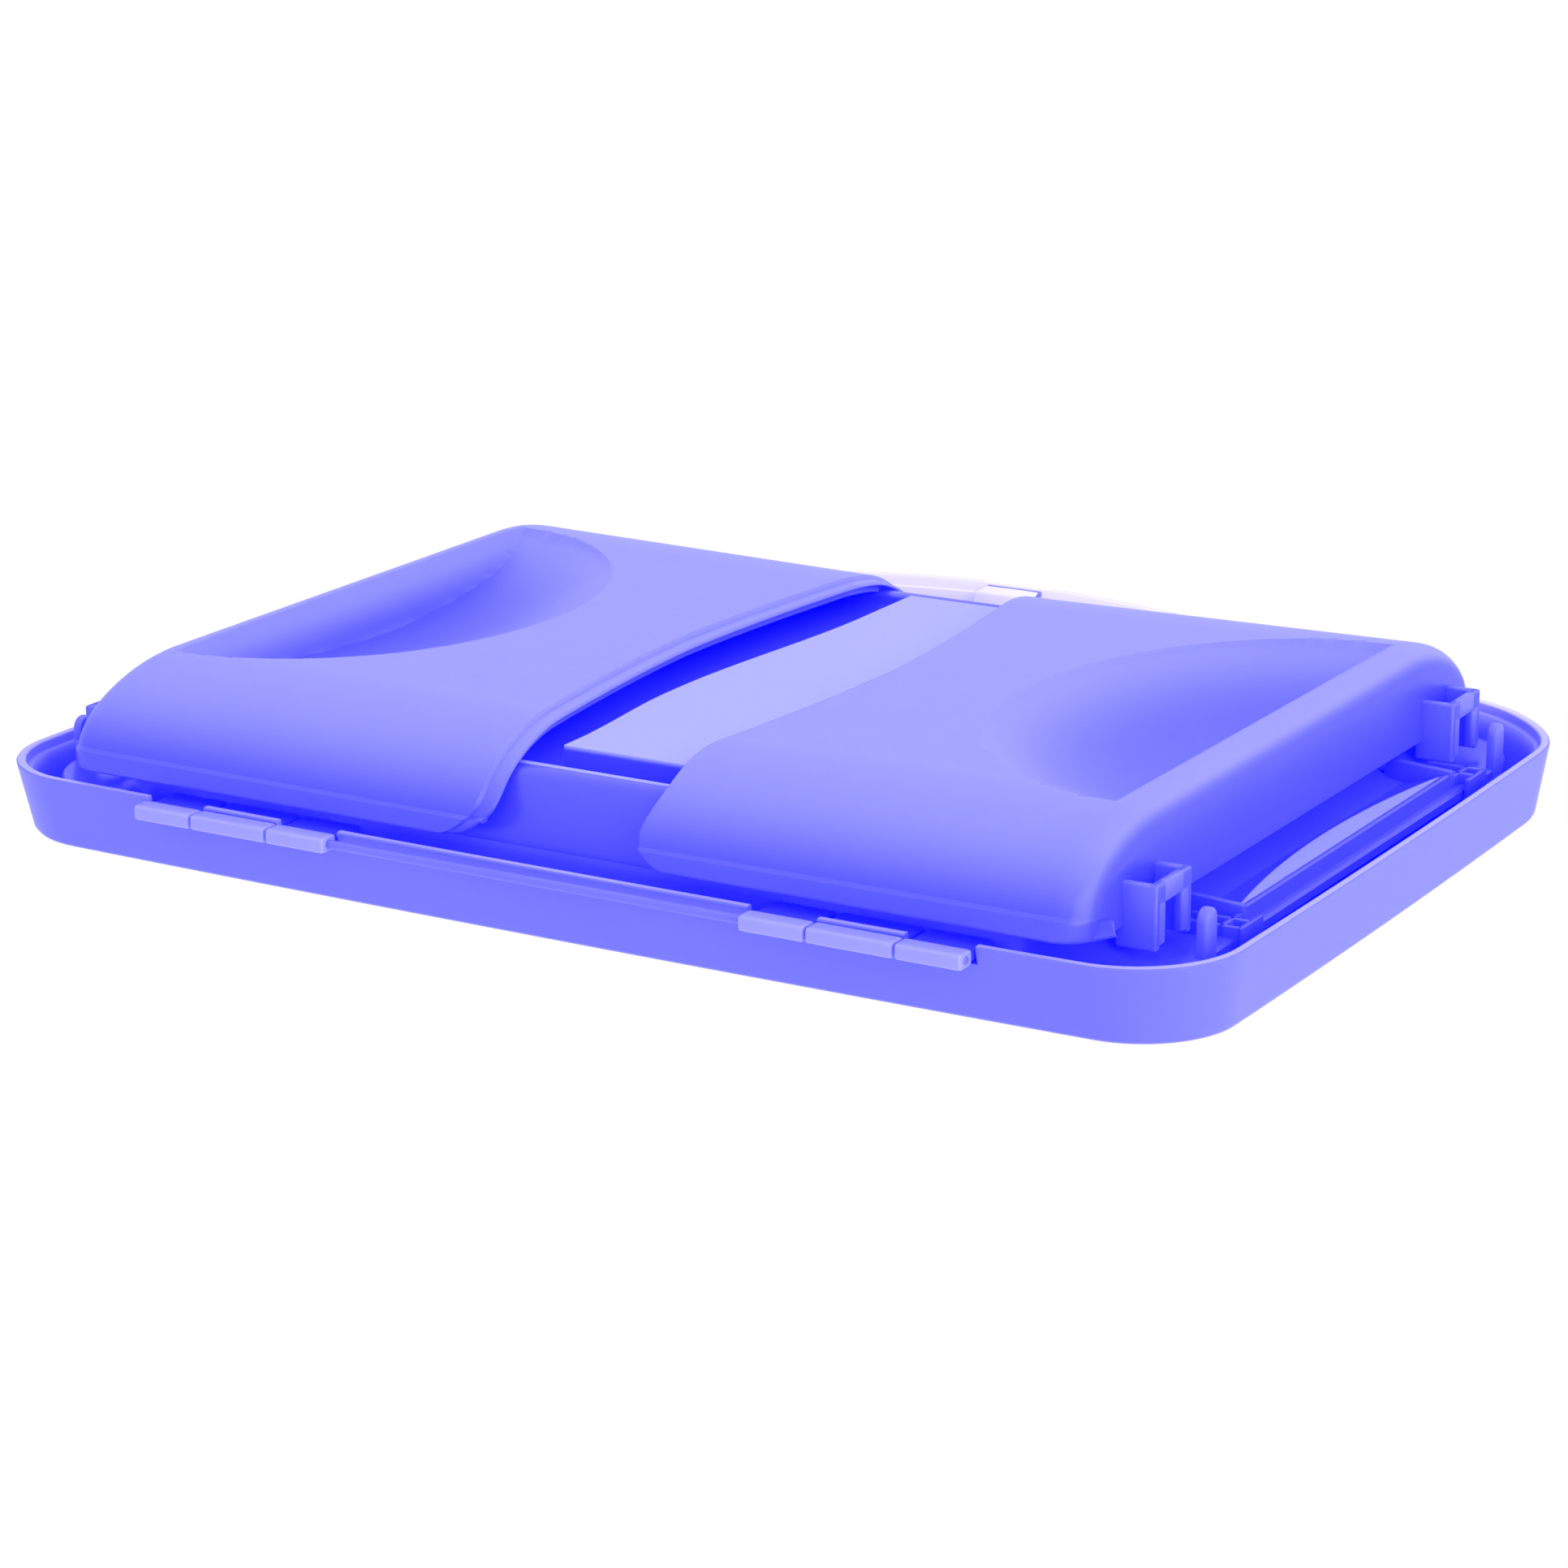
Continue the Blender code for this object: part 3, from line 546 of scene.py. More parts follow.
def extrusion(name, line, low, high, axis, paint):
    """Closed prism of a line given in the two axes that follow the given axis."""
    flat = np.asarray(line, float)
    count = len(flat)
    points = np.zeros((2 * count, 3))
    for half, level in enumerate((low, high)):
        rows = slice(half * count, (half + 1) * count)
        points[rows, (axis + 1) % 3] = flat[:, 0]
        points[rows, (axis + 2) % 3] = flat[:, 1]
        points[rows, axis] = level
    faces = [list(range(count)), list(range(count, 2 * count))]
    for index in range(count):
        after = (index + 1) % count
        faces.append([index, after, after + count, index + count])
    return mesh_piece(name, points, faces, paint)


def block(name, x, y, z, paint):
    corners = [(x[0], y[0]), (x[1], y[0]), (x[1], y[1]), (x[0], y[1])]
    return extrusion(name, corners, z[0], z[1], 2, paint)


def joined(name, pieces, paint):
    """One piece of several that touch or cross."""
    work = bmesh.new()
    for piece in pieces:
        work.from_mesh(piece.data)
        bpy.data.objects.remove(piece, do_unlink=True)
    mesh = bpy.data.meshes.new(name)
    work.to_mesh(mesh)
    work.free()
    finish_mesh(mesh, paint)
    made = bpy.data.objects.new(name, mesh)
    bpy.context.scene.collection.objects.link(made)
    return made


def rings_piece(name, rings, paint):
    """Skins a closed stack of rings and closes both ends with a fan."""
    count = len(rings[0])
    points = np.vstack([*rings, rings[0].mean(0), rings[-1].mean(0)])
    faces = []
    for level in range(len(rings) - 1):
        start = level * count
        for index in range(count):
            after = (index + 1) % count
            faces.append([start + index, start + after, start + count + after, start + count + index])
    last = (len(rings) - 1) * count
    for index in range(count):
        after = (index + 1) % count
        faces.append([len(rings) * count, after, index])
        faces.append([len(rings) * count + 1, last + index, last + after])
    return mesh_piece(name, points, faces, paint)


def half_turned(points):
    """The same points for the left side: half a turn about Z."""
    return np.asarray(points, float) * (-1.0, -1.0, 1.0)


def smooth_step(value):
    value = np.clip(value, 0.0, 1.0)
    return value * value * (3.0 - 2.0 * value)


# ---------------------------------------------------------------- lid

def outline(half_x, half_y, radius, front=0.0, rear=0.0, side=0.0, steps=(110, 60, 16)):
    """Rounded rectangle with bowed sides, anticlockwise from the front right corner."""
    along, across, bend = steps
    middle = ((1, -1, -90), (1, 1, 0), (-1, 1, 90), (-1, -1, 180))
    points = []
    for index, (sx, sy, angle) in enumerate(middle):
        centre = np.array([sx * (half_x - radius), sy * (half_y - radius)])
        for step in range(bend + 1):
            turn = math.radians(angle + 90.0 * step / bend)
            points.append(centre + radius * np.array([math.cos(turn), math.sin(turn)]))
        after = middle[(index + 1) % 4]
        other = np.array([after[0] * (half_x - radius), after[1] * (half_y - radius)])
        turn = math.radians(angle + 90.0)
        reach = radius * np.array([math.cos(turn), math.sin(turn)])
        count = across if index % 2 == 0 else along
        for step in range(1, count):
            points.append(centre + reach + (other - centre) * step / count)
    flat = np.array(points)
    x, y = flat[:, 0].copy(), flat[:, 1].copy()
    middle_x = np.clip(1.0 - (x / half_x) ** 2, 0.0, 1.0)
    middle_y = np.clip(1.0 - (y / half_y) ** 2, 0.0, 1.0)
    flat[:, 1] -= front * middle_x * np.clip(-y / half_y, 0.0, 1.0)
    flat[:, 1] += rear * middle_x * np.clip(y / half_y, 0.0, 1.0)
    flat[:, 0] += np.sign(x) * side * middle_y * (np.abs(x) / half_x) ** 4
    return flat


def lip_drop(x, y):
    """How far the rim hangs below its level line: deepest at the middle of the front."""
    front = np.clip(-y / LID_HALF[1], 0.0, 1.0) ** 6
    return LIP_DROP * front * np.clip(1.0 - (x / (LIP_REACH * LID_HALF[0])) ** 2, 0.0, 1.0) ** 2.3


def crescent(x, y, edge_y):
    """Depth of the shallow scoop along the hinge edge of the panel."""
    across = np.clip(1.0 - (x / CRESCENT_HALF_X) ** 2, 0.0, 1.0)
    reach = CRESCENT_WIDE * across
    inset = edge_y - CRESCENT_INSET - y
    share = np.clip(1.0 - inset / np.maximum(reach, 0.01), 0.0, 1.0)
    inside = (inset > -0.05) & (reach > 0.05)
    return np.where(inside, CRESCENT_DEEP * share ** 0.6 * across ** 0.35, 0.0)


def lid_ring(fraction, inset, step=0.0):
    """Ring on the lid wall: fraction 0 is the panel edge and 1 is the rim."""
    front, rear, side = LID_BOW
    half_x = LID_HALF[0] - LID_FLARE[0] * (1.0 - fraction) - inset
    half_y = LID_HALF[1] - LID_FLARE[1] * (1.0 - fraction) - inset
    radius = PANEL_RADIUS + (RIM_RADIUS - PANEL_RADIUS) * fraction - 0.6 * inset
    bow = front * (PANEL_BOW_SHARE + (1.0 - PANEL_BOW_SHARE) * fraction)
    flat = outline(half_x, half_y, radius, bow, rear, side)
    x, y = flat[:, 0], flat[:, 1]
    fall = LID_DEPTH + lip_drop(x, y)
    z = TOP_Z - fraction * fall + step
    on_front = np.clip(-y / half_y, 0.0, 1.0) ** 6
    arch = np.clip(1.0 - (x / LENS_HALF_X) ** 2, 0.0, 1.0)
    lens_top = TOP_Z - LENS_TOP - LENS_FALL * (1.0 - arch ** 0.75)
    share = np.clip((lens_top - z) / np.maximum(lens_top - TOP_Z + fall, 0.5), 0.0, 1.0)
    flat[:, 1] += LENS_DEPTH * on_front * arch ** 0.6 * (4.0 * share * (1.0 - share)) ** 0.8
    return np.c_[flat, z]


def panel_ring(scale, level, inset):
    """Ring on the flat panel, given as a share of the panel outline."""
    front, rear, side = LID_BOW
    half_x = LID_HALF[0] - LID_FLARE[0] - inset
    half_y = LID_HALF[1] - LID_FLARE[1] - inset
    flat = outline(half_x, half_y, PANEL_RADIUS - 0.6 * inset, front * PANEL_BOW_SHARE, rear, side) * scale
    return np.c_[flat, level - crescent(flat[:, 0], flat[:, 1], LID_HALF[1] - LID_FLARE[1] + rear)]


def hinge_span(side, first, second):
    """Ends along X of a stretch of one hinge group, given as distances from the middle of the hinge."""
    return sorted((side * first + HINGE_SHIFT, side * second + HINGE_SHIFT))


def make_lid(paint):
    edge_y = LID_HALF[1] - LID_FLARE[1] + LID_BOW[1]
    scales = np.concatenate([[0.3, 0.6, 0.75], np.linspace(0.82, 1.0, 26)])
    rings = [panel_ring(scale, TOP_Z, PANEL_EDGE) for scale in scales]
    for angle in np.radians((18.0, 36.0, 54.0, 72.0, 90.0)):
        ring = lid_ring(0.0, PANEL_EDGE * (1.0 - math.sin(angle)))
        ring[:, 2] = TOP_Z - PANEL_EDGE * (1.0 - math.cos(angle))
        ring[:, 2] -= math.cos(angle) * crescent(ring[:, 0], ring[:, 1], edge_y)
        rings.append(ring)
    rings += [lid_ring(fraction, 0.0) for fraction in np.linspace(0.09, 0.975, 26)]
    rings += [lid_ring(1.0, 0.12, 0.02), lid_ring(1.0, 0.25), lid_ring(1.0, 0.6), lid_ring(1.0, 0.7, 0.1)]
    rings += [lid_ring(1.0, 0.7, 0.8), lid_ring(1.0, LID_WALL, 0.85)]
    rings += [lid_ring(fraction, LID_WALL + 0.05) for fraction in (0.8, 0.6, 0.4, 0.3)]
    roof = TOP_Z - ROOF_WALL
    rings += [panel_ring(scale, roof, ROOF_INSET) for scale in (1.0, 0.97, 0.93, 0.88, 0.82, 0.6)]
    lid = rings_piece("lid", rings, paint)
    tools = []
    for side in (-1.0, 1.0):
        for first, second in (KNUCKLES[:2], KNUCKLES[2:]):
            ends = hinge_span(side, first - NOTCH_GAP, second + NOTCH_GAP)
            tools.append(block("notch", ends, (35.0, 41.0), (7.0, HINGE_Z + 0.7), paint))
    slot_x = (-LATCH_SLOT_HALF_X, LATCH_SLOT_HALF_X)
    slot_z = (3.0, TOP_Z - LID_DEPTH - LIP_DROP + LATCH_SLOT_LIP)
    tools.append(block("latch_slot", slot_x, (-45.0, -40.9), slot_z, paint))
    return cut_away(lid, tools, paint)


def make_knuckle(name, low, high, paint):
    """Flat-sided hinge knuckle with soft corners."""
    turn = np.linspace(0.0, 2.0 * math.pi, 40, endpoint=False)
    across = np.sign(np.cos(turn)) * np.abs(np.cos(turn)) ** KNUCKLE_SQUARENESS
    tall = np.sign(np.sin(turn)) * np.abs(np.sin(turn)) ** KNUCKLE_SQUARENESS
    rings = []
    for inset, shrink in ((0.12, 0.55), (0.12, 0.86), (0.2, 0.97), (0.4, 1.0)):
        rings.append((low + inset, shrink))
    ends = rings + [(low + high - x, shrink) for x, shrink in rings[::-1]]
    shaped = []
    for x, shrink in ends:
        wide, high_z = KNUCKLE_HALF[0] * shrink, KNUCKLE_HALF[1] * shrink
        shaped.append(np.c_[np.full(len(turn), x), HINGE_Y + wide * across, HINGE_Z + high_z * tall])
    return rings_piece(name, shaped, paint)


def make_arm(name, low, high, paint):
    """Arm that carries a knuckle."""
    arm = block(name, (low + 0.25, high - 0.25), (34.6, HINGE_Y), (HINGE_Z - 0.35, HINGE_Z + 0.45), paint)
    return bevelled(arm, 0.15, paint)


def make_rod(paint):
    """Thin rod through both hinge groups, rounded at its ends."""
    turn = np.linspace(0.0, 2.0 * math.pi, 24, endpoint=False)
    low, high = hinge_span(1.0, -KNUCKLES[3], KNUCKLES[3])
    rings = []
    tip = ((0.0, 0.6), (0.06, 0.85), (0.2, 1.0))
    places = [(low + inset, size) for inset, size in tip]
    places += [(high - inset, size) for inset, size in tip[::-1]]
    for x, size in places:
        y, z = HINGE_Y + ROD_RADIUS * size * np.cos(turn), HINGE_Z + ROD_RADIUS * size * np.sin(turn)
        rings.append(np.c_[np.full(len(turn), x), y, z])
    return rings_piece("hinge_pin", rings, paint)


# ---------------------------------------------------------------- grips

def facing_edge(y):
    """Plan line of the edge of the right grip that faces the other grip."""
    share = y / EDGE_HALF_Y
    line = EDGE_MIDDLE_X - EDGE_SWEEP * np.abs(share) ** 1.6 + EDGE_LEAN * share
    return line + EDGE_HOOK * smooth_step((y - EDGE_HOOK_Y) / EDGE_HOOK_LONG)


def edge_turn(y, z):
    """How far the ends of that edge curve away at the foot of the side wall."""
    radius = EDGE_TURN_FRONT if y < 0.0 else EDGE_TURN_REAR
    rise = np.clip((z - (GRIP_EDGE_Z - radius)) / radius, 0.0, 0.985)
    return radius * (1.0 - math.sqrt(1.0 - rise * rise))


def scoop(x, y):
    """Depth of the finger scoop in a grip face: a steep outer wall that meets a long ramp."""
    away = (SCOOP_X - x) / SCOOP_LONG
    rho = away ** 2 + (y / SCOOP_HALF_Y) ** 2
    softness = SCOOP_RIM_POWER + SCOOP_RAMP_POWER * away ** 2 / np.maximum(rho, 0.001)
    ramp = SCOOP_DEEP * np.clip(1.0 - rho, 0.0, 1.0) ** softness
    wall = np.clip(away, 0.0, None) * SCOOP_LONG * SCOOP_WALL
    gap = np.clip(0.5 + 0.5 * (ramp - wall) / SCOOP_BLEND, 0.0, 1.0)
    soft = SCOOP_BLEND * gap * (1.0 - gap) * np.clip(ramp / 0.6, 0.0, 1.0)
    return ramp + (wall - ramp) * gap - soft


def on_rim(x, y, reach=0.01):
    """Moves a point that is close to the curved rim of the scoop on to it, so that the rim is clean."""
    away = (SCOOP_X - x) / SCOOP_LONG
    rho = math.sqrt(away ** 2 + (y / SCOOP_HALF_Y) ** 2)
    if away > 0.0 and abs(rho - 1.0) < reach:
        return SCOOP_X - (SCOOP_X - x) / rho, y / rho
    return x, y


def grip_section(flat=140, bend=34, foot=12):
    """Half of a grip's cross-section, mirrored: a flat face, broad elliptic shoulders and an upright foot.

    Gives the points and, at each, the direction into the grip.
    """
    half = [(y, 0.0, 0.0, 1.0) for y in np.linspace(0.0, SHOULDER_Y, flat // 2 + 1)]
    wide = GRIP_HALF_Y - FLANGE_OUT - SHOULDER_Y
    power = SHOULDER_POWER
    for turn in np.linspace(0.0, math.pi / 2.0, bend + 1)[1:]:
        drop = 1.0 - math.cos(turn)
        fall = SHOULDER_DROP * drop ** power
        tangent = np.array([wide * math.cos(turn), power * fall / drop * math.sin(turn)])
        tangent /= np.linalg.norm(tangent)
        half.append((SHOULDER_Y + wide * math.sin(turn), fall, -tangent[1], tangent[0]))
    for z in np.linspace(SHOULDER_DROP, GRIP_EDGE_Z, foot + 1)[1:]:
        half.append((SHOULDER_Y + wide, z, -1.0, 0.0))
    half = np.array(half)
    return np.vstack([half[:0:-1] * (-1.0, 1.0, -1.0, 1.0), half])


def flange(z):
    """How far the flange along the foot of the side walls stands out, with its lower edge broken."""
    broken = np.clip((z - GRIP_EDGE_Z + FOOT_BREAK_TALL) / FOOT_BREAK_TALL, 0.0, 1.0) ** 2
    return FLANGE_OUT * smooth_step((z - FLANGE_Z) / FLANGE_STEP) - FOOT_BREAK * broken


def grip_points(left, rows=118, end_steps=9, wall_steps=8):
    """Outer skin of a grip, laid out for the right side: its section carried along X into a flat end wall.

    Its free edge is rounded on the right grip, and on the left one it stands out as a stepped rim.
    """
    lip, sunk = LEFT_RIM if left else RIGHT_RIM
    shares = np.linspace(0.0, 1.0, rows)[1:]
    limit_x = GRIP_END_X - END_ROUND
    lines = []
    for y_line, z_line, *inward in grip_section():
        inward = np.array(inward)
        near = float(facing_edge(y_line)) + edge_turn(y_line, z_line) + RIM_START - lip[-1]
        start = near + lip[-1]
        places = [near + inset for inset in lip]
        places += [start + share * (SCOOP_X - start) for share in shares]
        places += [0.5 * (SCOOP_X + limit_x)]
        out = math.copysign(1.0, y_line) * flange(z_line) if abs(y_line) > SHOULDER_Y else 0.0
        line = []
        for i, x in enumerate(places):
            x, y = on_rim(x, y_line)
            z = z_line + GRIP_SLOPE * np.clip((SCOOP_X - x) / 34.0, 0.0, 1.0) * (1.0 - z_line / GRIP_EDGE_Z)
            z += scoop(x, y)
            point = np.array([x, y + out, z])
            if i < len(lip):
                point[1:] += sunk[i] * inward
            line.append(point)
        for turn in np.linspace(0.0, math.pi / 2.0, end_steps):
            inset = END_ROUND * (1.0 - math.cos(turn)) * inward
            y = y_line + inset[0] + out * math.cos(turn)
            z = min(z_line + inset[1], GRIP_EDGE_Z)
            line.append(np.array([limit_x + END_ROUND * math.sin(turn), y, z]))
        foot = line[-1].copy()
        for share in np.linspace(0.0, 1.0, wall_steps + 1)[1:]:
            line.append(foot + (END_WALL_DRAFT * share, 0.0, (GRIP_EDGE_Z - foot[2]) * share))
        lines.append(line)
    grid = np.array(lines)
    count, length = grid.shape[:2]
    index = np.arange(count * length).reshape(count, length)
    faces = []
    for k in range(count - 1):
        for i in range(length - 1):
            faces.append([index[k, i], index[k + 1, i], index[k + 1, i + 1], index[k, i + 1]])
    return grid.reshape(-1, 3), faces


def make_grip(name, left, paint):
    points, faces = grip_points(left)
    if left:
        points = half_turned(points)
    grip = mesh_piece(name, points, [face[::-1] for face in faces], paint, outwards=False)
    normal_z = np.mean([face.normal.z for face in grip.data.polygons])
    if normal_z > 0.0:
        grip.data.flip_normals()
    wall = grip.modifiers.new("wall", "SOLIDIFY")
    wall.thickness = GRIP_WALL * MM
    wall.offset = -1.0
    return apply_modifiers(grip, paint)


def make_posts(name, left, paint):
    """Two hollow posts on a grip's end wall, with a slot in the outer wall that lets the base's tab pass."""
    side = -1.0 if left else 1.0
    parts = []
    outer = GRIP_END_X + POST_OUT
    deep = sorted((side * (GRIP_END_X - 0.5), side * outer))
    thin = sorted((side * (outer - POST_WALL), side * outer))
    for y in (-POST_Y, POST_Y):
        for cheek in (-1.0, 1.0):
            for word, reach, across, foot in (
                ("cheek", deep, POST_CHEEK, POST_FOOT_Z[0]),
                ("front", thin, POST_FRONT, POST_FOOT_Z[1]),
            ):
                wide = sorted((y + cheek * across[0], y + cheek * across[1]))
                plate = block(word, reach, wide, (POST_TOP_Z, foot), paint)
                parts.append(bevelled(plate, 0.22, paint, 3))
        wide = (y - POST_FRONT[1], y + POST_FRONT[1])
        bridge = block("bridge", thin, wide, (POST_TOP_Z, BRIDGE_Z), paint)
        parts.append(bevelled(bridge, 0.2, paint, 3))
    return joined(name, parts, paint)


# ---------------------------------------------------------------- base

def make_tray(paint):
    rings = []
    for half_x, half_y, radius, z in TRAY_LEVELS:
        flat = outline(half_x, half_y, radius, steps=(60, 40, 12))
        rings.append(np.c_[flat, np.full(len(flat), z)])
    return rings_piece("base_tray", rings, paint)


def bank_crest(y):
    """Where the bank of the trough begins, and how far along its bulge that is."""
    bulge = 1.0 - (y / TROUGH_HALF_Y) ** 2
    return BANK_X - TROUGH_BANK * bulge, bulge


def make_trough(name, left, paint):
    """Channel between the two posts of one end: a valley beside the end wall, a bank and an outer rib."""
    side = -1.0 if left else 1.0
    rings = []
    for y in np.linspace(-TROUGH_HALF_Y, TROUGH_HALF_Y, 49):
        crest, bulge = bank_crest(y)
        foot = 46.4
        line = [(44.6, 9.1), (45.6, 9.75), (foot, 9.9)]
        for part in np.linspace(0.1, 1.0, 10):
            line.append((foot + (crest - foot) * part, 9.9 - 1.15 * part ** 1.6))
        line += [(crest + (50.3 - crest) * part, 8.75 + 0.12 * bulge * part) for part in (0.3, 0.65, 1.0)]
        line += [(50.45, 8.6), (50.7, 8.55), (50.85, 8.7), (50.9, 9.3), (51.15, 9.9), (51.2, 10.5)]
        line.append((44.6, 10.5))
        rings.append(np.array([(side * x, y, z) for x, z in line]))
    parts = [rings_piece("channel", rings, paint)]
    for sign in (-1.0, 1.0):
        y = sign * TROUGH_HALF_Y
        wide = sorted((y - 0.1 * sign, y + 0.6 * sign))
        gable = [(8.0, side * 45.4), (8.35, side * 50.9), (10.5, side * 51.2), (10.5, side * 44.8)]
        parts.append(bevelled(extrusion("gable", gable, wide[0], wide[1], 1, paint), 0.12, paint))
        for step in (1.9, 3.7):
            at = y + sign * step
            ends = sorted((side * 47.4, side * 52.3))
            rib = block("rib", ends, (at - 0.25, at + 0.25), (8.9, TRAY_TOP_Z), paint)
            parts.append(bevelled(rib, 0.1, paint))
        ends = sorted((y + 0.2 * sign, y + 3.95 * sign))
        for reach in ((side * 50.5, side * 50.95), (side * 52.0, side * 52.45)):
            face = block("rib_face", sorted(reach), ends, (8.9, TRAY_TOP_Z), paint)
            parts.append(bevelled(face, 0.1, paint))
    return joined(name, parts, paint)


def make_bank_reflection(name, left, paint):
    """Painted reflection on the outer bank of the channel: a thin pale lens-shaped strip beside the rib."""
    side = -1.0 if left else 1.0
    rings = []
    for y in np.linspace(-TROUGH_HALF_Y + 0.8, TROUGH_HALF_Y - 0.8, 41):
        crest, bulge = bank_crest(y)
        line = [(crest + 0.04, 8.72), (50.28, 8.7 + 0.12 * bulge), (50.28, 9.2), (crest + 0.04, 9.2)]
        rings.append(np.array([(side * x, y, z) for x, z in line]))
    strip = rings_piece(name, rings, paint)
    finish_mesh(strip.data, paint, FLAT_ANGLE)
    return strip


def make_tabs(name, left, paint):
    """Upright loop tabs with rounded tops beside the posts."""
    side = -1.0 if left else 1.0
    parts = []
    for y in (-POST_Y, POST_Y):
        line = [(-1.0, TRAY_TOP_Z), (1.0, TRAY_TOP_Z)]
        line += [(math.cos(turn), TAB_TOP_Z - math.sin(turn)) for turn in np.linspace(0.0, math.pi, 13)]
        line = [(y + across, z) for across, z in line]
        ends = sorted((side * TAB_X[0], side * TAB_X[1]))
        tab = extrusion("tab", line, ends[0], ends[1], 0, paint)
        parts.append(bevelled(tab, 0.15, paint))
    return joined(name, parts, paint)


def make_keel(paint):
    """Body between the grips: a floor, grooves at its ends and sloping shoulders down to the rim."""
    profile = KEEL_HALF + tuple((-y, z) for y, z in KEEL_HALF[::-1])
    keel = extrusion("keel", profile, -KEEL_HALF_X, KEEL_HALF_X, 0, paint)
    well = block("well", (-14.2, 14.2), (-26.2, 26.2), (4.6, 6.5), paint)
    return bevelled(cut_away(keel, [well], paint), 0.12, paint)


def band_edge(y):
    """Plan line of the free edge of the band, which keeps clear of the left grip's wave."""
    return BAND_EDGE_X - 1.7 * smooth_step((y + 18.0) / 26.0) + 1.2 * smooth_step((y - 10.0) / 16.0)


def make_band(name, low, high, paint):
    """Raised flat band that fills the space beside the right grip's edge, or the face on top of it."""
    line = [(float(band_edge(y)), y) for y in np.linspace(-BAND_HALF_Y, BAND_HALF_Y, 60)]
    end = KEEL_HALF_X - 0.4
    line += [(end, BAND_HALF_Y), (end, -BAND_HALF_Y)]
    band = bevelled(extrusion(name, line, low, high, 2, paint), 0.1, paint)
    finish_mesh(band.data, paint, FLAT_ANGLE)
    return band


# ---------------------------------------------------------------- repeated works by Geometry Nodes

def new_tree(name, sizes):
    tree = bpy.data.node_groups.new(name, "GeometryNodeTree")
    tree.interface.new_socket("Geometry", in_out="INPUT", socket_type="NodeSocketGeometry")
    for size, value in sizes.items():
        socket = tree.interface.new_socket(size, in_out="INPUT", socket_type="NodeSocketFloat")
        socket.default_value = value
    tree.interface.new_socket("Geometry", in_out="OUTPUT", socket_type="NodeSocketGeometry")
    return tree, tree.nodes.new("NodeGroupInput"), tree.nodes.new("NodeGroupOutput")


def nodes_piece(name, start, tree, sizes, paint):
    """Runs a tree on a start mesh and keeps the result as a plain mesh."""
    holder = bpy.data.objects.new(name, start)
    bpy.context.scene.collection.objects.link(holder)
    change = holder.modifiers.new("build", "NODES")
    change.node_group = tree
    for item in tree.interface.items_tree:
        if item.in_out == "INPUT" and item.name in sizes:
            change[item.identifier] = sizes[item.name]
    return apply_modifiers(holder, paint)


def seeds(name, places):
    """Start mesh with one point at each place, in millimetres."""
    mesh = bpy.data.meshes.new(name + "_seeds")
    shifted = (np.asarray(places, float) + (0.0, CENTRE_Y, 0.0)) * MM
    mesh.from_pydata(shifted.tolist(), [], [])
    return mesh


def spring_tree(paint):
    """Compression spring along X at each seed: a wire swept along a spiral."""
    sizes = {"Turns": 7.0, "Radius": SPRING_RADIUS * MM, "Length": 0.01, "Wire": WIRE_RADIUS * MM}
    tree, given, result = new_tree("coil_spring", sizes)
    nodes, links = tree.nodes, tree.links
    spiral = nodes.new("GeometryNodeCurveSpiral")
    spiral.inputs["Resolution"].default_value = 30
    links.new(given.outputs["Turns"], spiral.inputs["Rotations"])
    links.new(given.outputs["Radius"], spiral.inputs["Start Radius"])
    links.new(given.outputs["Radius"], spiral.inputs["End Radius"])
    links.new(given.outputs["Length"], spiral.inputs["Height"])
    wire = nodes.new("GeometryNodeCurvePrimitiveCircle")
    wire.inputs["Resolution"].default_value = 8
    links.new(given.outputs["Wire"], wire.inputs["Radius"])
    sweep = nodes.new("GeometryNodeCurveToMesh")
    sweep.inputs["Fill Caps"].default_value = True
    links.new(spiral.outputs["Curve"], sweep.inputs["Curve"])
    links.new(wire.outputs["Curve"], sweep.inputs["Profile Curve"])
    lay = nodes.new("GeometryNodeTransform")
    lay.inputs["Rotation"].default_value = (0.0, math.pi / 2.0, 0.0)
    links.new(sweep.outputs["Mesh"], lay.inputs["Geometry"])
    return close_tree(tree, given, result, lay.outputs["Geometry"], paint)


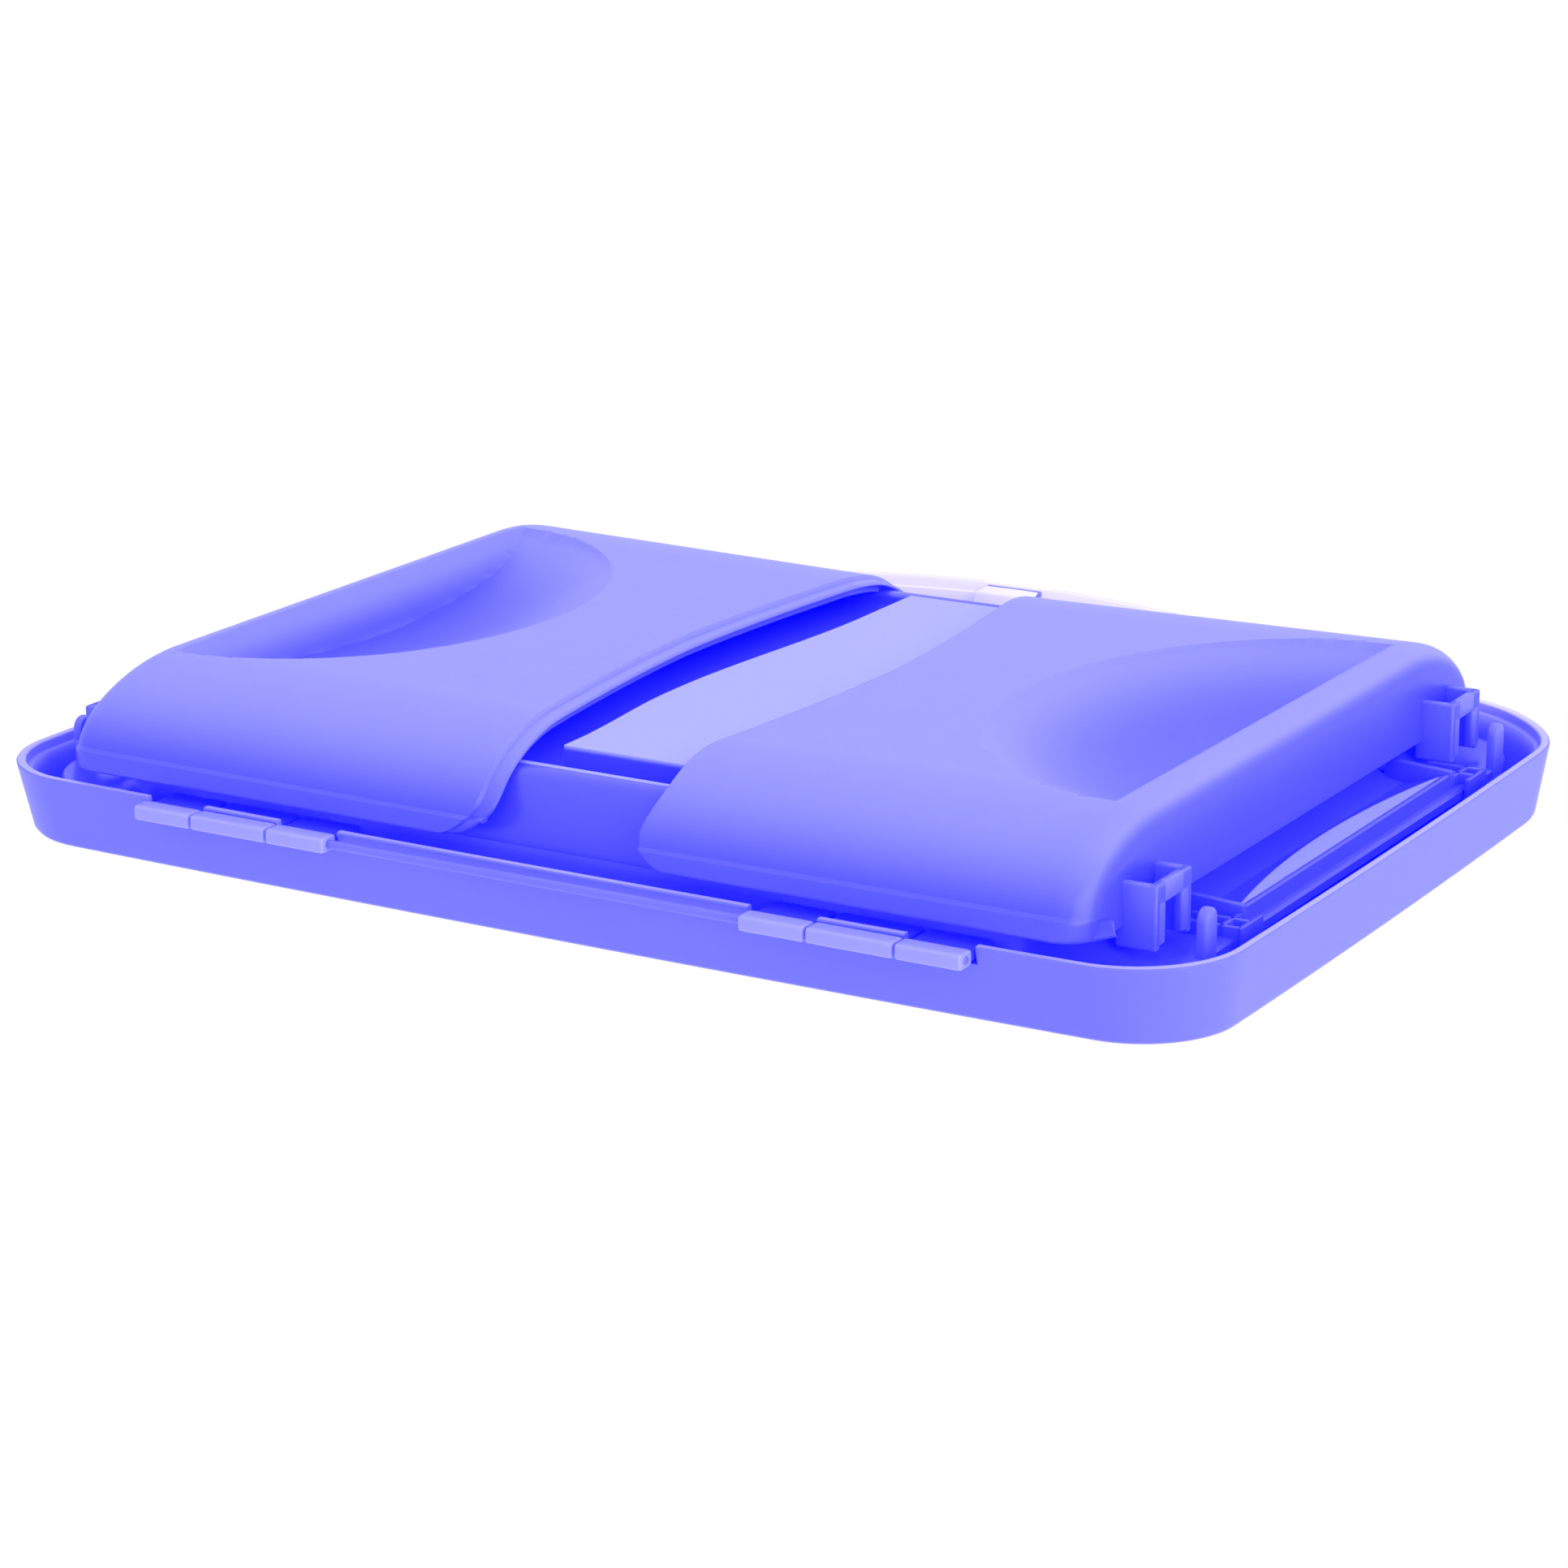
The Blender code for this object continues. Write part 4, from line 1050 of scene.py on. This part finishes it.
def screw_tree(paint):
    """Cross-head screw standing on each seed: a domed head with a cross recess, over a plain shank."""
    sizes = {"Head": SCREW_HEAD * MM, "Height": 0.0007, "Shank": 0.00055, "Depth": 0.003}
    tree, given, result = new_tree("cross_head_screw", sizes)
    nodes, links = tree.nodes, tree.links
    head = nodes.new("GeometryNodeMeshCylinder")
    head.inputs["Vertices"].default_value = 32
    head.inputs["Side Segments"].default_value = 4
    head.inputs["Fill Segments"].default_value = 6
    links.new(given.outputs["Head"], head.inputs["Radius"])
    links.new(given.outputs["Height"], head.inputs["Depth"])
    shank = nodes.new("GeometryNodeMeshCylinder")
    shank.inputs["Vertices"].default_value = 20
    links.new(given.outputs["Shank"], shank.inputs["Radius"])
    links.new(given.outputs["Depth"], shank.inputs["Depth"])
    below = math_node(nodes, links, "MULTIPLY", given.outputs["Depth"], -0.5)
    down = nodes.new("ShaderNodeCombineXYZ")
    links.new(below, down.inputs["Z"])
    place_shank = nodes.new("GeometryNodeTransform")
    links.new(shank.outputs["Mesh"], place_shank.inputs["Geometry"])
    links.new(down.outputs[0], place_shank.inputs["Translation"])
    bars = []
    for size in ((0.0013, 0.0003, 0.0006), (0.0003, 0.0013, 0.0006)):
        bar = nodes.new("GeometryNodeMeshCube")
        bar.inputs["Size"].default_value = size
        raised = nodes.new("GeometryNodeTransform")
        raised.inputs["Translation"].default_value = (0.0, 0.0, 0.00045)
        links.new(bar.outputs["Mesh"], raised.inputs["Geometry"])
        bars.append(raised)
    recess = nodes.new("GeometryNodeMeshBoolean")
    recess.operation = "DIFFERENCE"
    links.new(head.outputs["Mesh"], recess.inputs["Mesh 1"])
    for bar in bars:
        links.new(bar.outputs["Geometry"], recess.inputs["Mesh 2"])
    both = nodes.new("GeometryNodeJoinGeometry")
    links.new(recess.outputs["Mesh"], both.inputs["Geometry"])
    links.new(place_shank.outputs["Geometry"], both.inputs["Geometry"])
    return close_tree(tree, given, result, both.outputs["Geometry"], paint)


def close_tree(tree, given, result, shape, paint):
    """Puts the shape on every seed, makes it real and paints it."""
    nodes, links = tree.nodes, tree.links
    copies = nodes.new("GeometryNodeInstanceOnPoints")
    links.new(given.outputs["Geometry"], copies.inputs["Points"])
    links.new(shape, copies.inputs["Instance"])
    real = nodes.new("GeometryNodeRealizeInstances")
    links.new(copies.outputs["Instances"], real.inputs["Geometry"])
    painted = nodes.new("GeometryNodeSetMaterial")
    painted.inputs["Material"].default_value = paint
    links.new(real.outputs["Geometry"], painted.inputs["Geometry"])
    links.new(painted.outputs["Geometry"], result.inputs["Geometry"])
    return tree


def make_guide(name, side, y, paint):
    """Guide pin of a return spring, with a turned double head."""
    turn = np.linspace(0.0, 2.0 * math.pi, 32, endpoint=False)
    rings = []
    for x, radius in GUIDE_TURNING:
        across, tall = y + radius * np.cos(turn), SPRING_Z + radius * np.sin(turn)
        rings.append(np.c_[np.full(len(turn), side * x), across, tall])
    return rings_piece(name, rings, paint)


# ---------------------------------------------------------------- works carried over from the frame

def softened(node, width, paint):
    """Copy of a CAD node with its loose triangles merged and its sharp edges rounded."""
    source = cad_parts[node].data
    work = bmesh.new()
    work.from_mesh(source)
    bmesh.ops.remove_doubles(work, verts=work.verts, dist=2e-6)
    bmesh.ops.dissolve_limit(work, angle_limit=math.radians(1.5), verts=work.verts, edges=work.edges)
    mesh = bpy.data.meshes.new(node + "_soft")
    work.to_mesh(mesh)
    work.free()
    piece = bpy.data.objects.new(node + "_soft", mesh)
    bpy.context.scene.collection.objects.link(piece)
    return bevelled(piece, width, paint)


def settle(piece, body, slot, *nodes):
    """Puts a piece on its body and in place of the nodes it shows; its slot is not used."""
    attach(piece, body)
    if nodes:
        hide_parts(*nodes)
    return piece


def build_case(paints):
    # deep carries painted shade for recessed parts and band carries painted light
    blue, deep, band = paints["frosted_blue"], paints["frosted_painted_shade"], paints["frosted_painted_light"]
    slot = "frosted_blue"
    settle(make_lid(paints["frosted_lid"]), "lid", slot, "lid_shell")
    settle(make_tray(deep), "base", slot, "base_pan")
    settle(make_keel(deep), "base", slot)
    # Painted highlight: a pale strip along the keel's shoulder crest
    settle(bevelled(block("keel_crest_highlight", *KEEL_CREST_HIGHLIGHT, band), 0.14, band, 3), "base", slot)
    # Painted light and shade: the band's sides take the painted shade colour and its top face the painted
    # light colour
    settle(make_band("keel_band", BAND_Z + 0.3, BAND_FOOT_Z, deep), "base", slot)
    settle(make_band("keel_band_face", BAND_Z, BAND_Z + BAND_FACE, band), "base", slot)
    settle(make_rod(blue), "base", slot, "hinge_rod")
    for word, left in (("right", False), ("left", True)):
        side = -1.0 if left else 1.0
        body = word + "_half"
        grip = make_grip(word + "_finger_grip", left, paints["frosted_grip_lit_and_shaded"])
        settle(grip, body, slot, word + "_grip")
        settle(make_posts(word + "_posts", left, blue), body, slot)
        settle(make_trough(word + "_trough", left, deep), "base", slot)
        # Painted reflection: a pale strip on the trough's outer bank
        settle(make_bank_reflection(word + "_trough_bank_reflection", left, band), "base", slot)
        settle(make_tabs(word + "_tabs", left, blue), "base", slot)
        for at, (place, carrier) in enumerate((("inner", "base"), ("middle", "lid"), ("outer", "base"))):
            low, high = hinge_span(side, KNUCKLES[at], KNUCKLES[at + 1])
            settle(make_knuckle(f"{word}_knuckle_{place}", low, high, paints["pale_nylon"]), carrier, slot)
            settle(make_arm(f"{word}_arm_{place}", low, high, deep), carrier, slot)


def build_works(paints):
    steel, inner_blue = paints["steel"], paints["inner_blue"]
    paint_of_slot = {**paints, "frosted_blue": paints["frosted_lid"]}
    for node, width, slot, body in (
        ("deck_plate", 0.2, "inner_blue", "base"),
        ("cutting_anvil", 0.15, "pale_nylon", "base"),
        ("latch_catch", 0.2, "frosted_blue", "base"),
        ("pinion_pin", 0.1, "steel", "base"),
        ("pinion", 0.1, "pale_nylon", "pinion_gear"),
        ("right_carrier", 0.15, "inner_blue", "right_half"),
        ("left_carrier", 0.15, "inner_blue", "left_half"),
        ("right_jaw", 0.3, "inner_blue", "right_half"),
        ("left_jaw", 0.3, "inner_blue", "left_half"),
        ("blade_holder", 0.2, "inner_blue", "lid"),
        ("blade_clamp", 0.2, "inner_blue", "lid"),
    ):
        settle(softened(node, width, paint_of_slot[slot]), body, slot, node)
    for name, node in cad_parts.items():
        if name == "blade" or "screw" in name:
            node.data.materials.clear()
            node.data.materials.append(steel)
    springs = spring_tree(steel)
    wires = {"Turns": SPRING_TURNS, "Length": (SPRING_OUT_X - SPRING_IN_X - 2.2 * WIRE_RADIUS) * MM}
    for word, side in (("right", 1.0), ("left", -1.0)):
        start = (SPRING_IN_X if side > 0.0 else -SPRING_OUT_X) + 1.1 * WIRE_RADIUS
        for place, y in (("front", -POST_Y), ("rear", POST_Y)):
            name = f"{word}_return_spring_{place}"
            coil = nodes_piece(name, seeds(name, [(start, y, SPRING_Z)]), springs, wires, steel)
            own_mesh(coil)
            settle(coil, "base", "steel", f"{word}_spring_{place}")
            guide = make_guide(f"{word}_guide_pin_{place}", side, y, inner_blue)
            settle(guide, "base", "inner_blue", f"{word}_guide_{place}")
    screws = screw_tree(steel)
    x, y, z = DECK_SCREW
    places = [(sx * x, sy * y, z) for sx in (-1.0, 1.0) for sy in (-1.0, 1.0)]
    fitted = nodes_piece("deck_screws", seeds("deck_screws", places), screws, {"Depth": 0.0031}, steel)
    replaced = [f"deck_screw_{word}_{place}" for word in ("right", "left") for place in ("front", "rear")]
    settle(fitted, "base", "steel", *replaced)


place_camera()
light_world()
lay_floor()
add_lamp("right_lamp", (0.5, 0.12, -0.12), (0.0, 0.0, 0.0), 0.5, 1.6)
# The grip plastic takes painted shade on its walls and in its scoops
paints = {name: moulded_plastic(name, PAINTED_GRIP_SHADE if name == "frosted_grip_lit_and_shaded" else None) for name in PLASTICS}
# Painted light on the inside of the lid's rim
paint_light_through_rim(paints["frosted_lid"])
paints["steel"] = ground_steel("steel")
build_case(paints)
build_works(paints)
bpy.context.scene.view_settings.view_transform = "Standard"
